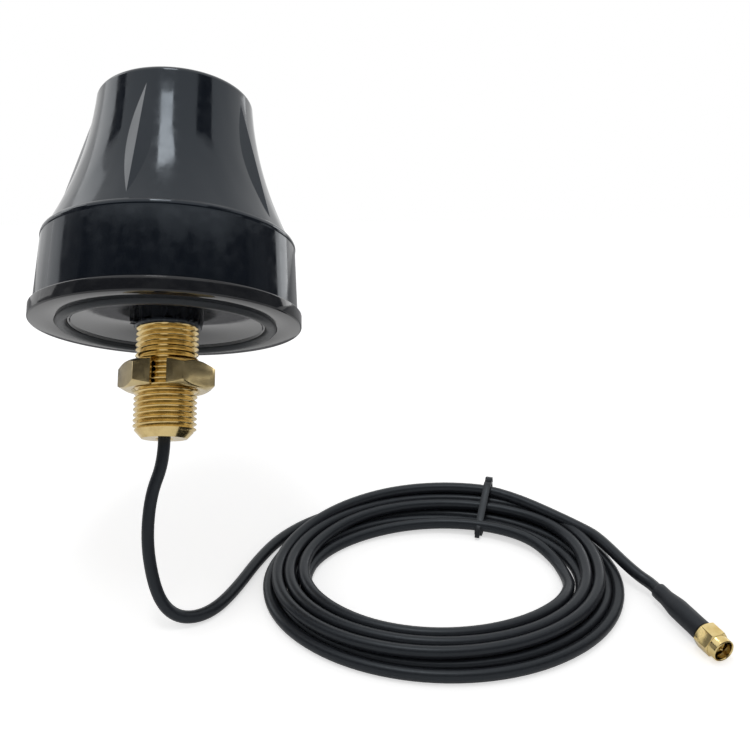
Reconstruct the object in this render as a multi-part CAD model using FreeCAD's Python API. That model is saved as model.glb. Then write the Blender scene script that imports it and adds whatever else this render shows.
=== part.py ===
"""Through-panel puck antenna: ribbed radome, brass stud with slotted nut, coiled lead and coaxial plug.

Units are millimetres and +Z is up. The origin is on the stud's axis, in the plane of the base's
flat underside, where the panel lies. The lead hangs below, and its coil rests on ground that
rises towards +Y.
"""
import FreeCAD, Part
import math
import os

os.makedirs("parts", exist_ok=True)

V = FreeCAD.Vector

# Base moulding
BASE_RADIUS = 45.0
BASE_RING_HEIGHT = 4.8
BASE_EDGE_CHAMFER = 0.4
DISC_RECESS = 0.8
LIP_WIDTH = 0.6
LIP_DROP = 0.5
SPIGOT_HEIGHT = 4.2
SPIGOT_WALL = 2.0
SPIGOT_CLEARANCE = 0.2

# Sealing ring in the underside
SEAL_INSET = 10.4
SEAL_SECTION_RADIUS = 1.95
SEAL_PROUD = 1.4
SEAL_CLEARANCE = 0.05
SEAL_SECTION_SIDES = 12

# Radome
BAND_LEDGE = 1.4
BAND_HEIGHT = 22.4
BAND_DRAFT = 1.1
SHOULDER_STEP = 1.5
SHOULDER_HEIGHT = 2.8
SHOULDER_BULGE = 0.8
BELL_TOP_RADIUS = 27.0
BELL_HOLLOW = 1.8
CROWN_Z = 82.0
CROWN_ROUND = 2.4
CROWN_DOME = 1.2
ROUND_BANDS = 4
RADOME_WALL = 2.6
RIB_COUNT = 5
RIB_FIRST_ANGLE = -7.0
RIB_TOP_DROP = 6.0
RIB_BOTTOM_RISE = 1.4
RIB_HALF_WIDTH = 5.2
RIB_ROOT_DEPTH = 1.0
RIB_RUN_IN = 2.0

# Threaded stud, with the thread's crests as a plain cylinder
STUD_RADIUS = 10.4775
STUD_LENGTH = 37.8
STUD_END_CHAMFER = 3.2
STUD_END_CHAMFER_WIDTH = 3.0
STUD_BORE_CLEARANCE = 0.5
STUD_BORE_COUNTERSINK = 0.4
STUD_HOLE_CLEARANCE = 0.15
FLANGE_WIDTH = 3.5
FLANGE_HEIGHT = 3.0
NECK_RADIUS = 8.0
NECK_PROUD = 0.5
NECK_CLEARANCE = 0.05

# Slotted hexagon nut on the stud
NUT_WALL = 3.4725
NUT_HEIGHT = 9.0
NUT_DROP = 12.8
NUT_FACE_INSET = 0.5
NUT_CHAMFER_ANGLE = 30.0
NUT_COUNTERSINK = 0.9
NUT_SLOT_WIDTH = 5.2
NUT_TURN = 2.0
NUT_CLEARANCE = 0.05

# Bead of sealant round the root of the stud
BEAD_WIDTH = 1.9
BEAD_DROP = 2.0

# Ground plate, its bosses and screws
PLATE_GAP = 3.6
PLATE_THICKNESS = 1.2
BOSS_COUNT = 3
BOSS_INSET = 7.0
BOSS_RADIUS = 3.6
BOSS_FIRST_ANGLE = 60.0
SCREW_RADIUS = 1.25
SCREW_CLEARANCE = 0.05
SCREW_HEAD_RADIUS = 2.3
SCREW_HEAD_HEIGHT = 1.5
SCREW_SLOT_WIDTH = 0.6
PLATE_SCREW_LENGTH = 6.0
PLATE_HOLE_CLEARANCE = 0.2

# Lock washer and lock nut that clamp the plate on the stud's flange
WASHER_WIDTH = 3.6
WASHER_THICKNESS = 1.1
WASHER_NOTCHES = 12
WASHER_NOTCH_RADIUS = 0.7
LOCK_NUT_WALL = 2.95
LOCK_NUT_HEIGHT = 3.6
LOCK_NUT_FACE_INSET = 0.3

# Upright circuit board with its copper radiator
BOARD_THICKNESS = 1.6
BOARD_GAP = 0.2
BOARD_HALF_WIDTH = 26.0
BOARD_TOP_HALF_WIDTH = 19.0
BOARD_SHOULDER_Z = 42.0
BOARD_TOP_Z = 70.0
BOARD_NOTCH_GAP = 1.8
BOARD_NOTCH_RISE = 2.3
RADIATOR_THICKNESS = 0.15
RADIATOR_MARGIN = 3.0
RADIATOR_FEED_HALF_WIDTH = 1.8
RADIATOR_FLARE_DROP = 6.0
RADIATOR_SLOT_WIDTH = 3.0
RADIATOR_SLOT_LENGTH = 18.0

# Corner clips that hold the board upright
CLIP_INSET = 5.5
CLIP_WIDTH = 7.0
CLIP_WALL = 2.0
CLIP_HEIGHT = 13.0
CLIP_FOOT = 9.5
CLIP_SCREW_LENGTH = 3.2
CLIP_SCREW_DROP = 4.0

# Coaxial lead, from the jacket to the centre wire
LEAD_DIAMETER = 4.2
BRAID_RADIUS = 1.75
DIELECTRIC_RADIUS = 1.45
WIRE_RADIUS = 0.5
JACKET_PROUD = 5.3
BRAID_LENGTH = 2.5
DIELECTRIC_LENGTH = 2.2
WIRE_LENGTH = 4.0
SOLDER_RADIUS = 1.5

# Ground that the loose lead rests on, rising towards +Y
GROUND_ANGLE = 35.0
GROUND_Y = 9.3
GROUND_Z = -98.2

# Coil of the lead: an oval of four arcs with an oval section
COIL_CENTRE_X = 92.5
COIL_CENTRE_V = 17.0
COIL_HALF_LENGTH = 54.5
COIL_HALF_WIDTH = 42.8
COIL_END_RADIUS = 37.0
COIL_SECTION_HALF_WIDTH = 9.4
COIL_SECTION_HALF_HEIGHT = 4.4
COIL_SECTION_SIDES = 14
TIE_ANGLE = 69.0
TIE_WIDTH = 3.2
TIE_THICKNESS = 1.0

# Coaxial plug at the lead's far end
PLUG_START_X = 164.5
PLUG_START_V = 10.7
PLUG_HEADING = -69.3
PLUG_RESTING_GAP = 0.08
SLEEVE_LENGTH = 22.5
SLEEVE_WALL = 0.55
SLEEVE_NECK_LENGTH = 5.0
SLEEVE_STEP = 1.0
FERRULE_START = 9.5
FERRULE_WALL = 0.65
FERRULE_CLEARANCE = 0.05
FERRULE_OVER_JACKET = 2.0
BODY_FLANGE_RADIUS = 3.0
BODY_FLANGE_THICKNESS = 0.7
BARREL_RADIUS = 2.3
BARREL_WALL = 0.25
BARREL_SET_BACK = 2.7
BODY_NECK_STEP = 0.15
COUPLING_THREAD_RADIUS = 3.175
COUPLING_HEX_WALL = 0.795
COUPLING_NOSE_WALL = 0.575
COUPLING_FACE_INSET = 0.05
COUPLING_HEX_LENGTH = 5.9
COUPLING_LENGTH = 9.0
COUPLING_END_CHAMFER = 0.3
COUPLING_REAR_WALL = 1.3
COUPLING_CLEARANCE = 0.05
COUPLING_END_PLAY = 0.1
SNAP_RING_STEP = 0.5
SNAP_RING_THICKNESS = 0.5
SNAP_RING_GAP = 1.2
GASKET_THICKNESS = 0.7
INSULATOR_SET_BACK = 1.0
PIN_RADIUS = 0.46
PIN_SET_BACK = 0.9

# Route of the lead from the stud's mouth to the coil. The hanging points are x, y, z, after the
# mouth itself. The lying points are x, distance up the slope, height of the centre above it.
LEAD_HANGING = [
    (0.0, 0.0, -45.5), (-3.3, 0.3, -57.0), (-3.6, 1.5, -70.5), (-1.5, 3.0, -83.0),
    (1.0, 4.8, -90.4), (5.0, 6.9, -94.4)]
LEAD_LYING = [
    (11.2, 1.8, 2.1), (17.0, 7.2, 2.1), (22.0, 18.0, 2.1), (26.9, 32.5, 2.1), (33.6, 46.2, 2.1),
    (44.5, 57.6, 2.1), (58.5, 65.2, 2.3), (73.0, 67.0, 3.0), (87.0, 64.0, 4.3)]
TAIL_LYING = [(142.0, 45.5, 4.7), (152.3, 34.0, 3.6), (159.6, 22.0, 3.2)]

# Radii and heights that follow from the driving dimensions
BAND_BOTTOM_RADIUS = BASE_RADIUS - BAND_LEDGE
BAND_TOP_RADIUS = BAND_BOTTOM_RADIUS - BAND_DRAFT
BAND_TOP_Z = BASE_RING_HEIGHT + BAND_HEIGHT
BELL_BOTTOM_RADIUS = BAND_TOP_RADIUS - SHOULDER_STEP
BELL_BOTTOM_Z = BAND_TOP_Z + SHOULDER_HEIGHT
BELL_TOP_Z = CROWN_Z - CROWN_ROUND
RIB_TOP_Z = CROWN_Z - RIB_TOP_DROP
RIB_BOTTOM_Z = BELL_BOTTOM_Z + RIB_BOTTOM_RISE
SEAL_RADIUS = BASE_RADIUS - SEAL_INSET
GROOVE_HALF_WIDTH = SEAL_SECTION_RADIUS + SEAL_CLEARANCE
SEAL_CENTRE_Z = SEAL_SECTION_RADIUS - SEAL_PROUD
GROOVE_TOP_Z = SEAL_CENTRE_Z + SEAL_SECTION_RADIUS + SEAL_CLEARANCE
LEAD_RADIUS = LEAD_DIAMETER / 2
STUD_END_Z = -STUD_LENGTH
STUD_BORE_RADIUS = LEAD_RADIUS + STUD_BORE_CLEARANCE
FLANGE_RADIUS = STUD_RADIUS + FLANGE_WIDTH
NUT_TOP_Z = -NUT_DROP
NUT_BORE_RADIUS = STUD_RADIUS + NUT_CLEARANCE
NUT_FLATS = 2 * (NUT_BORE_RADIUS + NUT_WALL)
PLATE_Z = BASE_RING_HEIGHT + FLANGE_HEIGHT
PLATE_TOP_Z = PLATE_Z + PLATE_THICKNESS
LOCK_NUT_Z = PLATE_TOP_Z + WASHER_THICKNESS
NECK_TOP_Z = LOCK_NUT_Z + LOCK_NUT_HEIGHT + NECK_PROUD
LOCK_NUT_BORE_RADIUS = NECK_RADIUS + NECK_CLEARANCE
LOCK_NUT_FLATS = 2 * (LOCK_NUT_BORE_RADIUS + LOCK_NUT_WALL)
JACKET_TOP_Z = NECK_TOP_Z + JACKET_PROUD
WIRE_BOTTOM_Z = JACKET_TOP_Z + BRAID_LENGTH + DIELECTRIC_LENGTH
BOARD_FRONT_Y = LEAD_RADIUS + BOARD_GAP
BOARD_BACK_Y = BOARD_FRONT_Y + BOARD_THICKNESS
BOARD_NOTCH_Z = NECK_TOP_Z + BOARD_NOTCH_RISE
BOARD_NOTCH_HALF_WIDTH = LOCK_NUT_FLATS / 2 / math.cos(math.radians(30)) + BOARD_NOTCH_GAP
CLIP_CENTRE_X = BOARD_HALF_WIDTH - CLIP_INSET
CLIP_SCREW_Z = PLATE_TOP_Z + CLIP_HEIGHT - CLIP_SCREW_DROP
CLIP_FOOT_Y = BOARD_BACK_Y + CLIP_WALL + (CLIP_FOOT - CLIP_WALL) / 2
FERRULE_INNER = LEAD_RADIUS + FERRULE_CLEARANCE
FERRULE_OUTER = FERRULE_INNER + FERRULE_WALL
TAIL_END = FERRULE_START + FERRULE_OVER_JACKET
BODY_NECK_START = SLEEVE_LENGTH + BODY_FLANGE_THICKNESS
BODY_NECK_RADIUS = BARREL_RADIUS + BODY_NECK_STEP
COUPLING_START = BODY_NECK_START + COUPLING_END_PLAY
COUPLING_CAVITY_START = COUPLING_START + COUPLING_REAR_WALL
COUPLING_END = COUPLING_START + COUPLING_LENGTH
COUPLING_FLATS = 2 * (COUPLING_THREAD_RADIUS + COUPLING_HEX_WALL)
BARREL_END = COUPLING_END - BARREL_SET_BACK
BARREL_BORE_RADIUS = BARREL_RADIUS - BARREL_WALL
PIN_END = COUPLING_END - PIN_SET_BACK
PLUG_AXIS_HEIGHT = COUPLING_FLATS / 2 + PLUG_RESTING_GAP
BOSS_ANGLES = [BOSS_FIRST_ANGLE + k * 360 / BOSS_COUNT for k in range(BOSS_COUNT)]


def radial(angle, radius, z=0.0):
    """Point at an angle from -Y towards +X, seen from above."""
    turn = math.radians(angle)
    return V(radius * math.sin(turn), -radius * math.cos(turn), z)


def on_ground(x, along, height):
    """Point on the sloping ground: x, distance up the slope, height at right angles to it."""
    slope = math.radians(GROUND_ANGLE)
    y = GROUND_Y + along * math.cos(slope) - height * math.sin(slope)
    z = GROUND_Z + along * math.sin(slope) + height * math.cos(slope)
    return V(x, y, z)


def line(start, end):
    return Part.makeLine(start, end)


def rz(radius, z):
    return V(radius, 0, z)


def outline(points):
    """Closed wire through radius and height pairs in the XZ plane."""
    corners = [rz(*p) for p in points]
    return Part.Wire(Part.makePolygon(corners + corners[:1]).Edges)


def turned(wire, centre=V(0, 0, 0), angle=360.0):
    """Solid turned about a vertical axis through the centre."""
    return Part.Face(wire).revolve(centre, V(0, 0, 1), angle)


def cylinder(radius, bottom, top, centre=V(0, 0, 0)):
    base = V(centre.x, centre.y, bottom)
    return Part.makeCylinder(radius, top - bottom, base)


def ring(outer, inner, bottom, top):
    return cylinder(outer, bottom, top).cut(cylinder(inner, bottom, top))


def box(x0, x1, y0, y1, z0, z1):
    return Part.makeBox(x1 - x0, y1 - y0, z1 - z0, V(x0, y0, z0))


def hexagon(flats, bottom, top, turn):
    """Hexagonal prism with one flat's middle at the turn angle."""
    corner_radius = flats / 2 / math.cos(math.radians(30))
    corners = [radial(turn + 30 + 60 * k, corner_radius, bottom) for k in range(6)]
    face = Part.Face(Part.makePolygon(corners + corners[:1]))
    return face.extrude(V(0, 0, top - bottom))


def chamfered_hexagon(flats, bottom, top, face_radius, angle, turn=0.0):
    """Hexagonal prism whose corners are turned off by a cone at both ends."""
    corner_radius = flats / 2 / math.cos(math.radians(30)) + 1.0
    drop = (corner_radius - face_radius) * math.tan(math.radians(angle))
    cone = turned(outline([
        (0, bottom), (face_radius, bottom), (corner_radius, bottom + drop),
        (corner_radius, top - drop), (face_radius, top), (0, top)]))
    return hexagon(flats, bottom, top, turn).common(cone)


def band_inner_radius(z):
    """Radius of the band's inside at a height; its wall tapers as its outside does."""
    slope = BAND_DRAFT / BAND_HEIGHT
    return BAND_BOTTOM_RADIUS - RADOME_WALL - slope * (z - BASE_RING_HEIGHT)


SPIGOT_TOP_Z = BASE_RING_HEIGHT + SPIGOT_HEIGHT
SPIGOT_INNER_RADIUS = band_inner_radius(SPIGOT_TOP_Z) - SPIGOT_CLEARANCE - SPIGOT_WALL
PLATE_RADIUS = SPIGOT_INNER_RADIUS - PLATE_GAP
BOSS_CIRCLE_RADIUS = PLATE_RADIUS - BOSS_INSET


def banded(arc):
    """Straight bands in place of a small round, so that it stays light."""
    step = (arc.LastParameter - arc.FirstParameter) / ROUND_BANDS
    points = [arc.valueAt(arc.FirstParameter + k * step) for k in range(ROUND_BANDS + 1)]
    return [line(*pair) for pair in zip(points, points[1:])]


def bell_arc(inset):
    """Hollow curve of the bell, moved inwards by the inset."""
    low = rz(BELL_BOTTOM_RADIUS - inset, BELL_BOTTOM_Z)
    high = rz(BELL_TOP_RADIUS - inset, BELL_TOP_Z)
    return Part.Arc(low, (low + high) * 0.5 - V(BELL_HOLLOW, 0, 0), high).toShape()


def rib(angle):
    """Triangular gusset with a straight crest that bridges the bell's hollow curve."""
    top = rz(bell_radius(RIB_TOP_Z), RIB_TOP_Z)
    bottom = rz(bell_radius(RIB_BOTTOM_Z), RIB_BOTTOM_Z)
    middle = (top + bottom) * 0.5
    rise = middle.x - math.sqrt(bell_radius(middle.z) ** 2 - RIB_HALF_WIDTH ** 2)
    upward = (top - bottom).normalize()
    outward = V(upward.z, 0, -upward.x)
    bottom = bottom - upward * RIB_RUN_IN
    crest = top + upward * RIB_RUN_IN - bottom
    depth = rise + RIB_ROOT_DEPTH
    half_width = RIB_HALF_WIDTH * depth / rise
    foot = bottom - outward * depth
    corners = [bottom, foot + V(0, half_width, 0), foot - V(0, half_width, 0)]
    wedge = Part.Face(Part.makePolygon(corners + corners[:1])).extrude(crest)
    wedge.rotate(V(0, 0, 0), V(0, 0, 1), angle - 90)
    return wedge


def bell_radius(z):
    """Radius of the bell's outer surface at a height."""
    arc = bell_arc(0.0)
    level = line(rz(0, z), rz(BASE_RADIUS, z))
    return arc.distToShape(level)[1][0][0].x


def radome():
    """Moulded cover: band, rounded shoulder, hollow bell with ribs, and domed crown."""
    shoulder_low = rz(BAND_TOP_RADIUS, BAND_TOP_Z)
    shoulder_high = rz(BELL_BOTTOM_RADIUS, BELL_BOTTOM_Z)
    across = shoulder_high - shoulder_low
    bulge = (shoulder_low + shoulder_high) * 0.5 + V(across.z, 0, -across.x).normalize() * SHOULDER_BULGE
    crown_low = rz(BELL_TOP_RADIUS, BELL_TOP_Z)
    crown_high = rz(BELL_TOP_RADIUS - CROWN_ROUND, CROWN_Z)
    crown_bulge = crown_high - V(0, 0, CROWN_ROUND) + V(1, 0, 1) * (CROWN_ROUND * math.sqrt(0.5))
    apex = rz(0, CROWN_Z + CROWN_DOME)
    dome_radius = (crown_high.x ** 2 + CROWN_DOME ** 2) / (2 * CROWN_DOME)
    half_reach = math.asin(crown_high.x / dome_radius) / 2
    dome_middle = apex - V(0, 0, dome_radius) + rz(
        dome_radius * math.sin(half_reach), dome_radius * math.cos(half_reach))
    outer = turned(Part.Wire(
        [line(rz(0, BASE_RING_HEIGHT), rz(BAND_BOTTOM_RADIUS, BASE_RING_HEIGHT)),
         line(rz(BAND_BOTTOM_RADIUS, BASE_RING_HEIGHT), shoulder_low)]
        + banded(Part.Arc(shoulder_low, bulge, shoulder_high).toShape())
        + [bell_arc(0.0)]
        + banded(Part.Arc(crown_low, crown_bulge, crown_high).toShape())
        + [Part.Arc(crown_high, dome_middle, apex).toShape(), line(apex, rz(0, BASE_RING_HEIGHT))]))
    for k in range(RIB_COUNT):
        outer = outer.fuse(rib(RIB_FIRST_ANGLE + k * 360 / RIB_COUNT))
    inner_low = rz(BELL_BOTTOM_RADIUS - RADOME_WALL, BELL_BOTTOM_Z)
    inner_high = rz(BELL_TOP_RADIUS - RADOME_WALL, BELL_TOP_Z)
    inner_knee = rz(band_inner_radius(BAND_TOP_Z - RADOME_WALL), BAND_TOP_Z - RADOME_WALL)
    cavity = turned(Part.Wire([
        line(rz(0, BASE_RING_HEIGHT), rz(band_inner_radius(BASE_RING_HEIGHT), BASE_RING_HEIGHT)),
        line(rz(band_inner_radius(BASE_RING_HEIGHT), BASE_RING_HEIGHT), inner_knee),
        line(inner_knee, inner_low),
        bell_arc(RADOME_WALL),
        line(inner_high, rz(0, inner_high.z)),
        line(rz(0, inner_high.z), rz(0, BASE_RING_HEIGHT))]))
    below_roof = cylinder(BASE_RADIUS, BASE_RING_HEIGHT, CROWN_Z - RADOME_WALL)
    return outer.cut(cavity.common(below_roof))


def base():
    """Moulded base: flat rim, groove for the sealing ring, recessed disc, spigot and bosses."""
    groove_in = SEAL_RADIUS - GROOVE_HALF_WIDTH
    groove_out = SEAL_RADIUS + GROOVE_HALF_WIDTH
    hole = STUD_RADIUS + STUD_HOLE_CLEARANCE
    lip_z = DISC_RECESS - LIP_DROP
    section = outline([
        (hole, DISC_RECESS),
        (groove_in - LIP_WIDTH - LIP_DROP, DISC_RECESS),
        (groove_in - LIP_WIDTH, lip_z),
        (groove_in, lip_z),
        (groove_in, GROOVE_TOP_Z),
        (groove_out, GROOVE_TOP_Z),
        (groove_out, 0),
        (BASE_RADIUS - BASE_EDGE_CHAMFER, 0),
        (BASE_RADIUS, BASE_EDGE_CHAMFER),
        (BASE_RADIUS, BASE_RING_HEIGHT - BASE_EDGE_CHAMFER),
        (BASE_RADIUS - BASE_EDGE_CHAMFER, BASE_RING_HEIGHT),
        (band_inner_radius(BASE_RING_HEIGHT) - SPIGOT_CLEARANCE, BASE_RING_HEIGHT),
        (band_inner_radius(SPIGOT_TOP_Z) - SPIGOT_CLEARANCE, SPIGOT_TOP_Z),
        (SPIGOT_INNER_RADIUS, SPIGOT_TOP_Z),
        (SPIGOT_INNER_RADIUS, BASE_RING_HEIGHT),
        (hole, BASE_RING_HEIGHT)])
    body = turned(section)
    hole_bottom = PLATE_TOP_Z - PLATE_SCREW_LENGTH - SCREW_CLEARANCE
    for angle in BOSS_ANGLES:
        place = radial(angle, BOSS_CIRCLE_RADIUS)
        body = body.fuse(cylinder(BOSS_RADIUS, BASE_RING_HEIGHT, PLATE_Z, place))
    for angle in BOSS_ANGLES:
        place = radial(angle, BOSS_CIRCLE_RADIUS)
        body = body.cut(cylinder(SCREW_RADIUS + SCREW_CLEARANCE, hole_bottom, PLATE_Z, place))
    return body


def sealing_ring():
    """Round-section ring, with straight sides in its section."""
    turns = [2 * math.pi * k / SEAL_SECTION_SIDES for k in range(SEAL_SECTION_SIDES)]
    return turned(outline([
        (SEAL_RADIUS + SEAL_SECTION_RADIUS * math.cos(turn), SEAL_CENTRE_Z + SEAL_SECTION_RADIUS * math.sin(turn))
        for turn in turns]))


def stud():
    """Turned brass stud: threaded shank with a chamfered end, flange and threaded neck."""
    end_radius = STUD_RADIUS - STUD_END_CHAMFER_WIDTH
    body = turned(outline([
        (STUD_BORE_RADIUS + STUD_BORE_COUNTERSINK, STUD_END_Z),
        (end_radius, STUD_END_Z),
        (STUD_RADIUS, STUD_END_Z + STUD_END_CHAMFER),
        (STUD_RADIUS, BASE_RING_HEIGHT),
        (FLANGE_RADIUS, BASE_RING_HEIGHT),
        (FLANGE_RADIUS, PLATE_Z),
        (NECK_RADIUS, PLATE_Z),
        (NECK_RADIUS, NECK_TOP_Z),
        (STUD_BORE_RADIUS, NECK_TOP_Z),
        (STUD_BORE_RADIUS, STUD_END_Z + STUD_BORE_COUNTERSINK)]))
    return body


def slotted_nut():
    """Hexagon nut, open on one flat so that it can be put on over the lead."""
    bottom = NUT_TOP_Z - NUT_HEIGHT
    bore = NUT_BORE_RADIUS
    face_radius = NUT_FLATS / 2 - NUT_FACE_INSET
    nut = chamfered_hexagon(NUT_FLATS, bottom, NUT_TOP_Z, face_radius, NUT_CHAMFER_ANGLE, NUT_TURN)
    nut = nut.cut(turned(outline([
        (0, bottom), (bore + NUT_COUNTERSINK, bottom), (bore, bottom + NUT_COUNTERSINK),
        (bore, NUT_TOP_Z - NUT_COUNTERSINK), (bore + NUT_COUNTERSINK, NUT_TOP_Z), (0, NUT_TOP_Z)])))
    slot = box(-NUT_SLOT_WIDTH / 2, NUT_SLOT_WIDTH / 2, -NUT_FLATS, 0, bottom, NUT_TOP_Z)
    slot.rotate(V(0, 0, 0), V(0, 0, 1), NUT_TURN)
    return nut.cut(slot)


def sealant_bead():
    """Blunt ring of sealant in the corner between the stud and the recessed disc."""
    out = STUD_RADIUS + BEAD_WIDTH
    down = DISC_RECESS - BEAD_DROP
    return turned(outline([
        (STUD_RADIUS, DISC_RECESS), (out, DISC_RECESS), (out - BEAD_WIDTH * 0.08, DISC_RECESS - BEAD_DROP * 0.4),
        (out - BEAD_WIDTH * 0.4, DISC_RECESS - BEAD_DROP * 0.85), (STUD_RADIUS, down)]))


def screw(length, head_z, place):
    """Pan-head screw that points down, with its head resting at the given height."""
    shank = cylinder(SCREW_RADIUS, head_z - length, head_z, place)
    head = cylinder(SCREW_HEAD_RADIUS, head_z, head_z + SCREW_HEAD_HEIGHT, place)
    slot = box(-SCREW_HEAD_RADIUS, SCREW_HEAD_RADIUS, -SCREW_SLOT_WIDTH / 2, SCREW_SLOT_WIDTH / 2,
               head_z + SCREW_HEAD_HEIGHT / 2, head_z + SCREW_HEAD_HEIGHT)
    slot.translate(place)
    return shank.fuse(head).cut(slot).removeSplitter()


def clip_screw_places():
    return [V(side * CLIP_CENTRE_X, CLIP_FOOT_Y, 0) for side in (-1, 1)]


def ground_plate():
    """Round aluminium plate under the board, clamped at its centre and on the bosses."""
    plate = ring(PLATE_RADIUS, NECK_RADIUS + NECK_CLEARANCE, PLATE_Z, PLATE_TOP_Z)
    hole = SCREW_RADIUS + PLATE_HOLE_CLEARANCE
    for angle in BOSS_ANGLES:
        plate = plate.cut(cylinder(hole, PLATE_Z, PLATE_TOP_Z, radial(angle, BOSS_CIRCLE_RADIUS)))
    for place in clip_screw_places():
        plate = plate.cut(cylinder(SCREW_RADIUS + SCREW_CLEARANCE, PLATE_Z, PLATE_TOP_Z, place))
    return plate


def lock_washer():
    """Toothed washer between the plate and the lock nut."""
    inner = NECK_RADIUS + 2 * NECK_CLEARANCE
    washer = ring(inner + WASHER_WIDTH, inner, PLATE_TOP_Z, LOCK_NUT_Z)
    for k in range(WASHER_NOTCHES):
        place = radial(k * 360 / WASHER_NOTCHES, inner + WASHER_WIDTH - WASHER_NOTCH_RADIUS / 2)
        washer = washer.cut(cylinder(WASHER_NOTCH_RADIUS, PLATE_TOP_Z, LOCK_NUT_Z, place))
    return washer


def lock_nut():
    top = LOCK_NUT_Z + LOCK_NUT_HEIGHT
    face_radius = LOCK_NUT_FLATS / 2 - LOCK_NUT_FACE_INSET
    nut = chamfered_hexagon(LOCK_NUT_FLATS, LOCK_NUT_Z, top, face_radius, NUT_CHAMFER_ANGLE)
    return nut.cut(cylinder(LOCK_NUT_BORE_RADIUS, LOCK_NUT_Z, top))


def upright_face(points, y):
    """Flat face in an XZ plane at a given y."""
    corners = [V(x, y, z) for x, z in points]
    return Part.Face(Part.makePolygon(corners + corners[:1]))


def board_screw_holes(y0, y1, clearance):
    """Cylinders along Y where the board is screwed to its clips."""
    radius = SCREW_RADIUS + clearance
    return [Part.makeCylinder(radius, y1 - y0, V(side * CLIP_CENTRE_X, y0, CLIP_SCREW_Z), V(0, 1, 0))
            for side in (-1, 1)]


def antenna_board():
    """Upright board with sloping shoulders, notched over the lock nut."""
    wide, narrow, notch = BOARD_HALF_WIDTH, BOARD_TOP_HALF_WIDTH, BOARD_NOTCH_HALF_WIDTH
    face = upright_face([
        (-wide, PLATE_TOP_Z), (-notch, PLATE_TOP_Z), (-notch, BOARD_NOTCH_Z), (notch, BOARD_NOTCH_Z),
        (notch, PLATE_TOP_Z), (wide, PLATE_TOP_Z), (wide, BOARD_SHOULDER_Z), (narrow, BOARD_TOP_Z),
        (-narrow, BOARD_TOP_Z), (-wide, BOARD_SHOULDER_Z)], BOARD_FRONT_Y)
    board = face.extrude(V(0, BOARD_THICKNESS, 0))
    for hole in board_screw_holes(BOARD_FRONT_Y, BOARD_BACK_Y, SCREW_CLEARANCE):
        board = board.cut(hole)
    return board


def radiator():
    """Copper foil: a narrow feed that flares into a wide slotted patch."""
    wide = BOARD_HALF_WIDTH - RADIATOR_MARGIN
    narrow = BOARD_TOP_HALF_WIDTH - RADIATOR_MARGIN
    feed = RADIATOR_FEED_HALF_WIDTH
    top = BOARD_TOP_Z - RADIATOR_MARGIN
    slot = RADIATOR_SLOT_WIDTH / 2
    slot_bottom = top - RADIATOR_SLOT_LENGTH
    face = upright_face([
        (-feed, WIRE_BOTTOM_Z), (feed, WIRE_BOTTOM_Z), (wide, BOARD_SHOULDER_Z - RADIATOR_FLARE_DROP),
        (wide, BOARD_SHOULDER_Z), (narrow, top), (slot, top), (slot, slot_bottom),
        (-slot, slot_bottom), (-slot, top), (-narrow, top), (-wide, BOARD_SHOULDER_Z),
        (-wide, BOARD_SHOULDER_Z - RADIATOR_FLARE_DROP)], BOARD_FRONT_Y - RADIATOR_THICKNESS)
    return face.extrude(V(0, RADIATOR_THICKNESS, 0))


def board_clip(side):
    """Moulded angle: its foot is screwed to the plate and its wall to the board."""
    x0 = side * CLIP_CENTRE_X - CLIP_WIDTH / 2
    x1 = x0 + CLIP_WIDTH
    wall = box(x0, x1, BOARD_BACK_Y, BOARD_BACK_Y + CLIP_WALL, PLATE_TOP_Z, PLATE_TOP_Z + CLIP_HEIGHT)
    foot = box(x0, x1, BOARD_BACK_Y, BOARD_BACK_Y + CLIP_FOOT, PLATE_TOP_Z, PLATE_TOP_Z + CLIP_WALL)
    clip = wall.fuse(foot).removeSplitter()
    place = V(side * CLIP_CENTRE_X, CLIP_FOOT_Y, 0)
    clip = clip.cut(cylinder(SCREW_RADIUS + SCREW_CLEARANCE, PLATE_TOP_Z, PLATE_TOP_Z + CLIP_WALL, place))
    for hole in board_screw_holes(BOARD_BACK_Y, BOARD_BACK_Y + CLIP_WALL, SCREW_CLEARANCE):
        clip = clip.cut(hole)
    return clip


def clip_screws():
    head_z = PLATE_TOP_Z + CLIP_WALL
    return Part.makeCompound([screw(CLIP_SCREW_LENGTH, head_z, place) for place in clip_screw_places()])


def board_screws():
    """Two screws that pass from the front through the board into its clips."""
    made = []
    for shank in board_screw_holes(BOARD_FRONT_Y, BOARD_BACK_Y + CLIP_WALL, 0.0):
        centre = shank.Faces[0].CenterOfMass
        base_point = V(centre.x, BOARD_FRONT_Y - SCREW_HEAD_HEIGHT, CLIP_SCREW_Z)
        head = Part.makeCylinder(SCREW_HEAD_RADIUS, SCREW_HEAD_HEIGHT, base_point, V(0, 1, 0))
        made.append(shank.fuse(head).removeSplitter())
    return Part.makeCompound(made)


def plate_screws():
    return Part.makeCompound([
        screw(PLATE_SCREW_LENGTH, PLATE_TOP_Z, radial(angle, BOSS_CIRCLE_RADIUS))
        for angle in BOSS_ANGLES])


def solder_joint():
    """Blob that joins the centre wire to the copper foil."""
    z = WIRE_BOTTOM_Z + WIRE_LENGTH / 2
    foil_y = BOARD_FRONT_Y - RADIATOR_THICKNESS
    front_y = -WIRE_RADIUS * 2
    blob = Part.makeCone(SOLDER_RADIUS * 0.6, SOLDER_RADIUS, foil_y - front_y, V(0, front_y, z), V(0, 1, 0))
    wire = cylinder(WIRE_RADIUS, WIRE_BOTTOM_Z, WIRE_BOTTOM_Z + WIRE_LENGTH)
    return blob.cut(wire)


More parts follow.
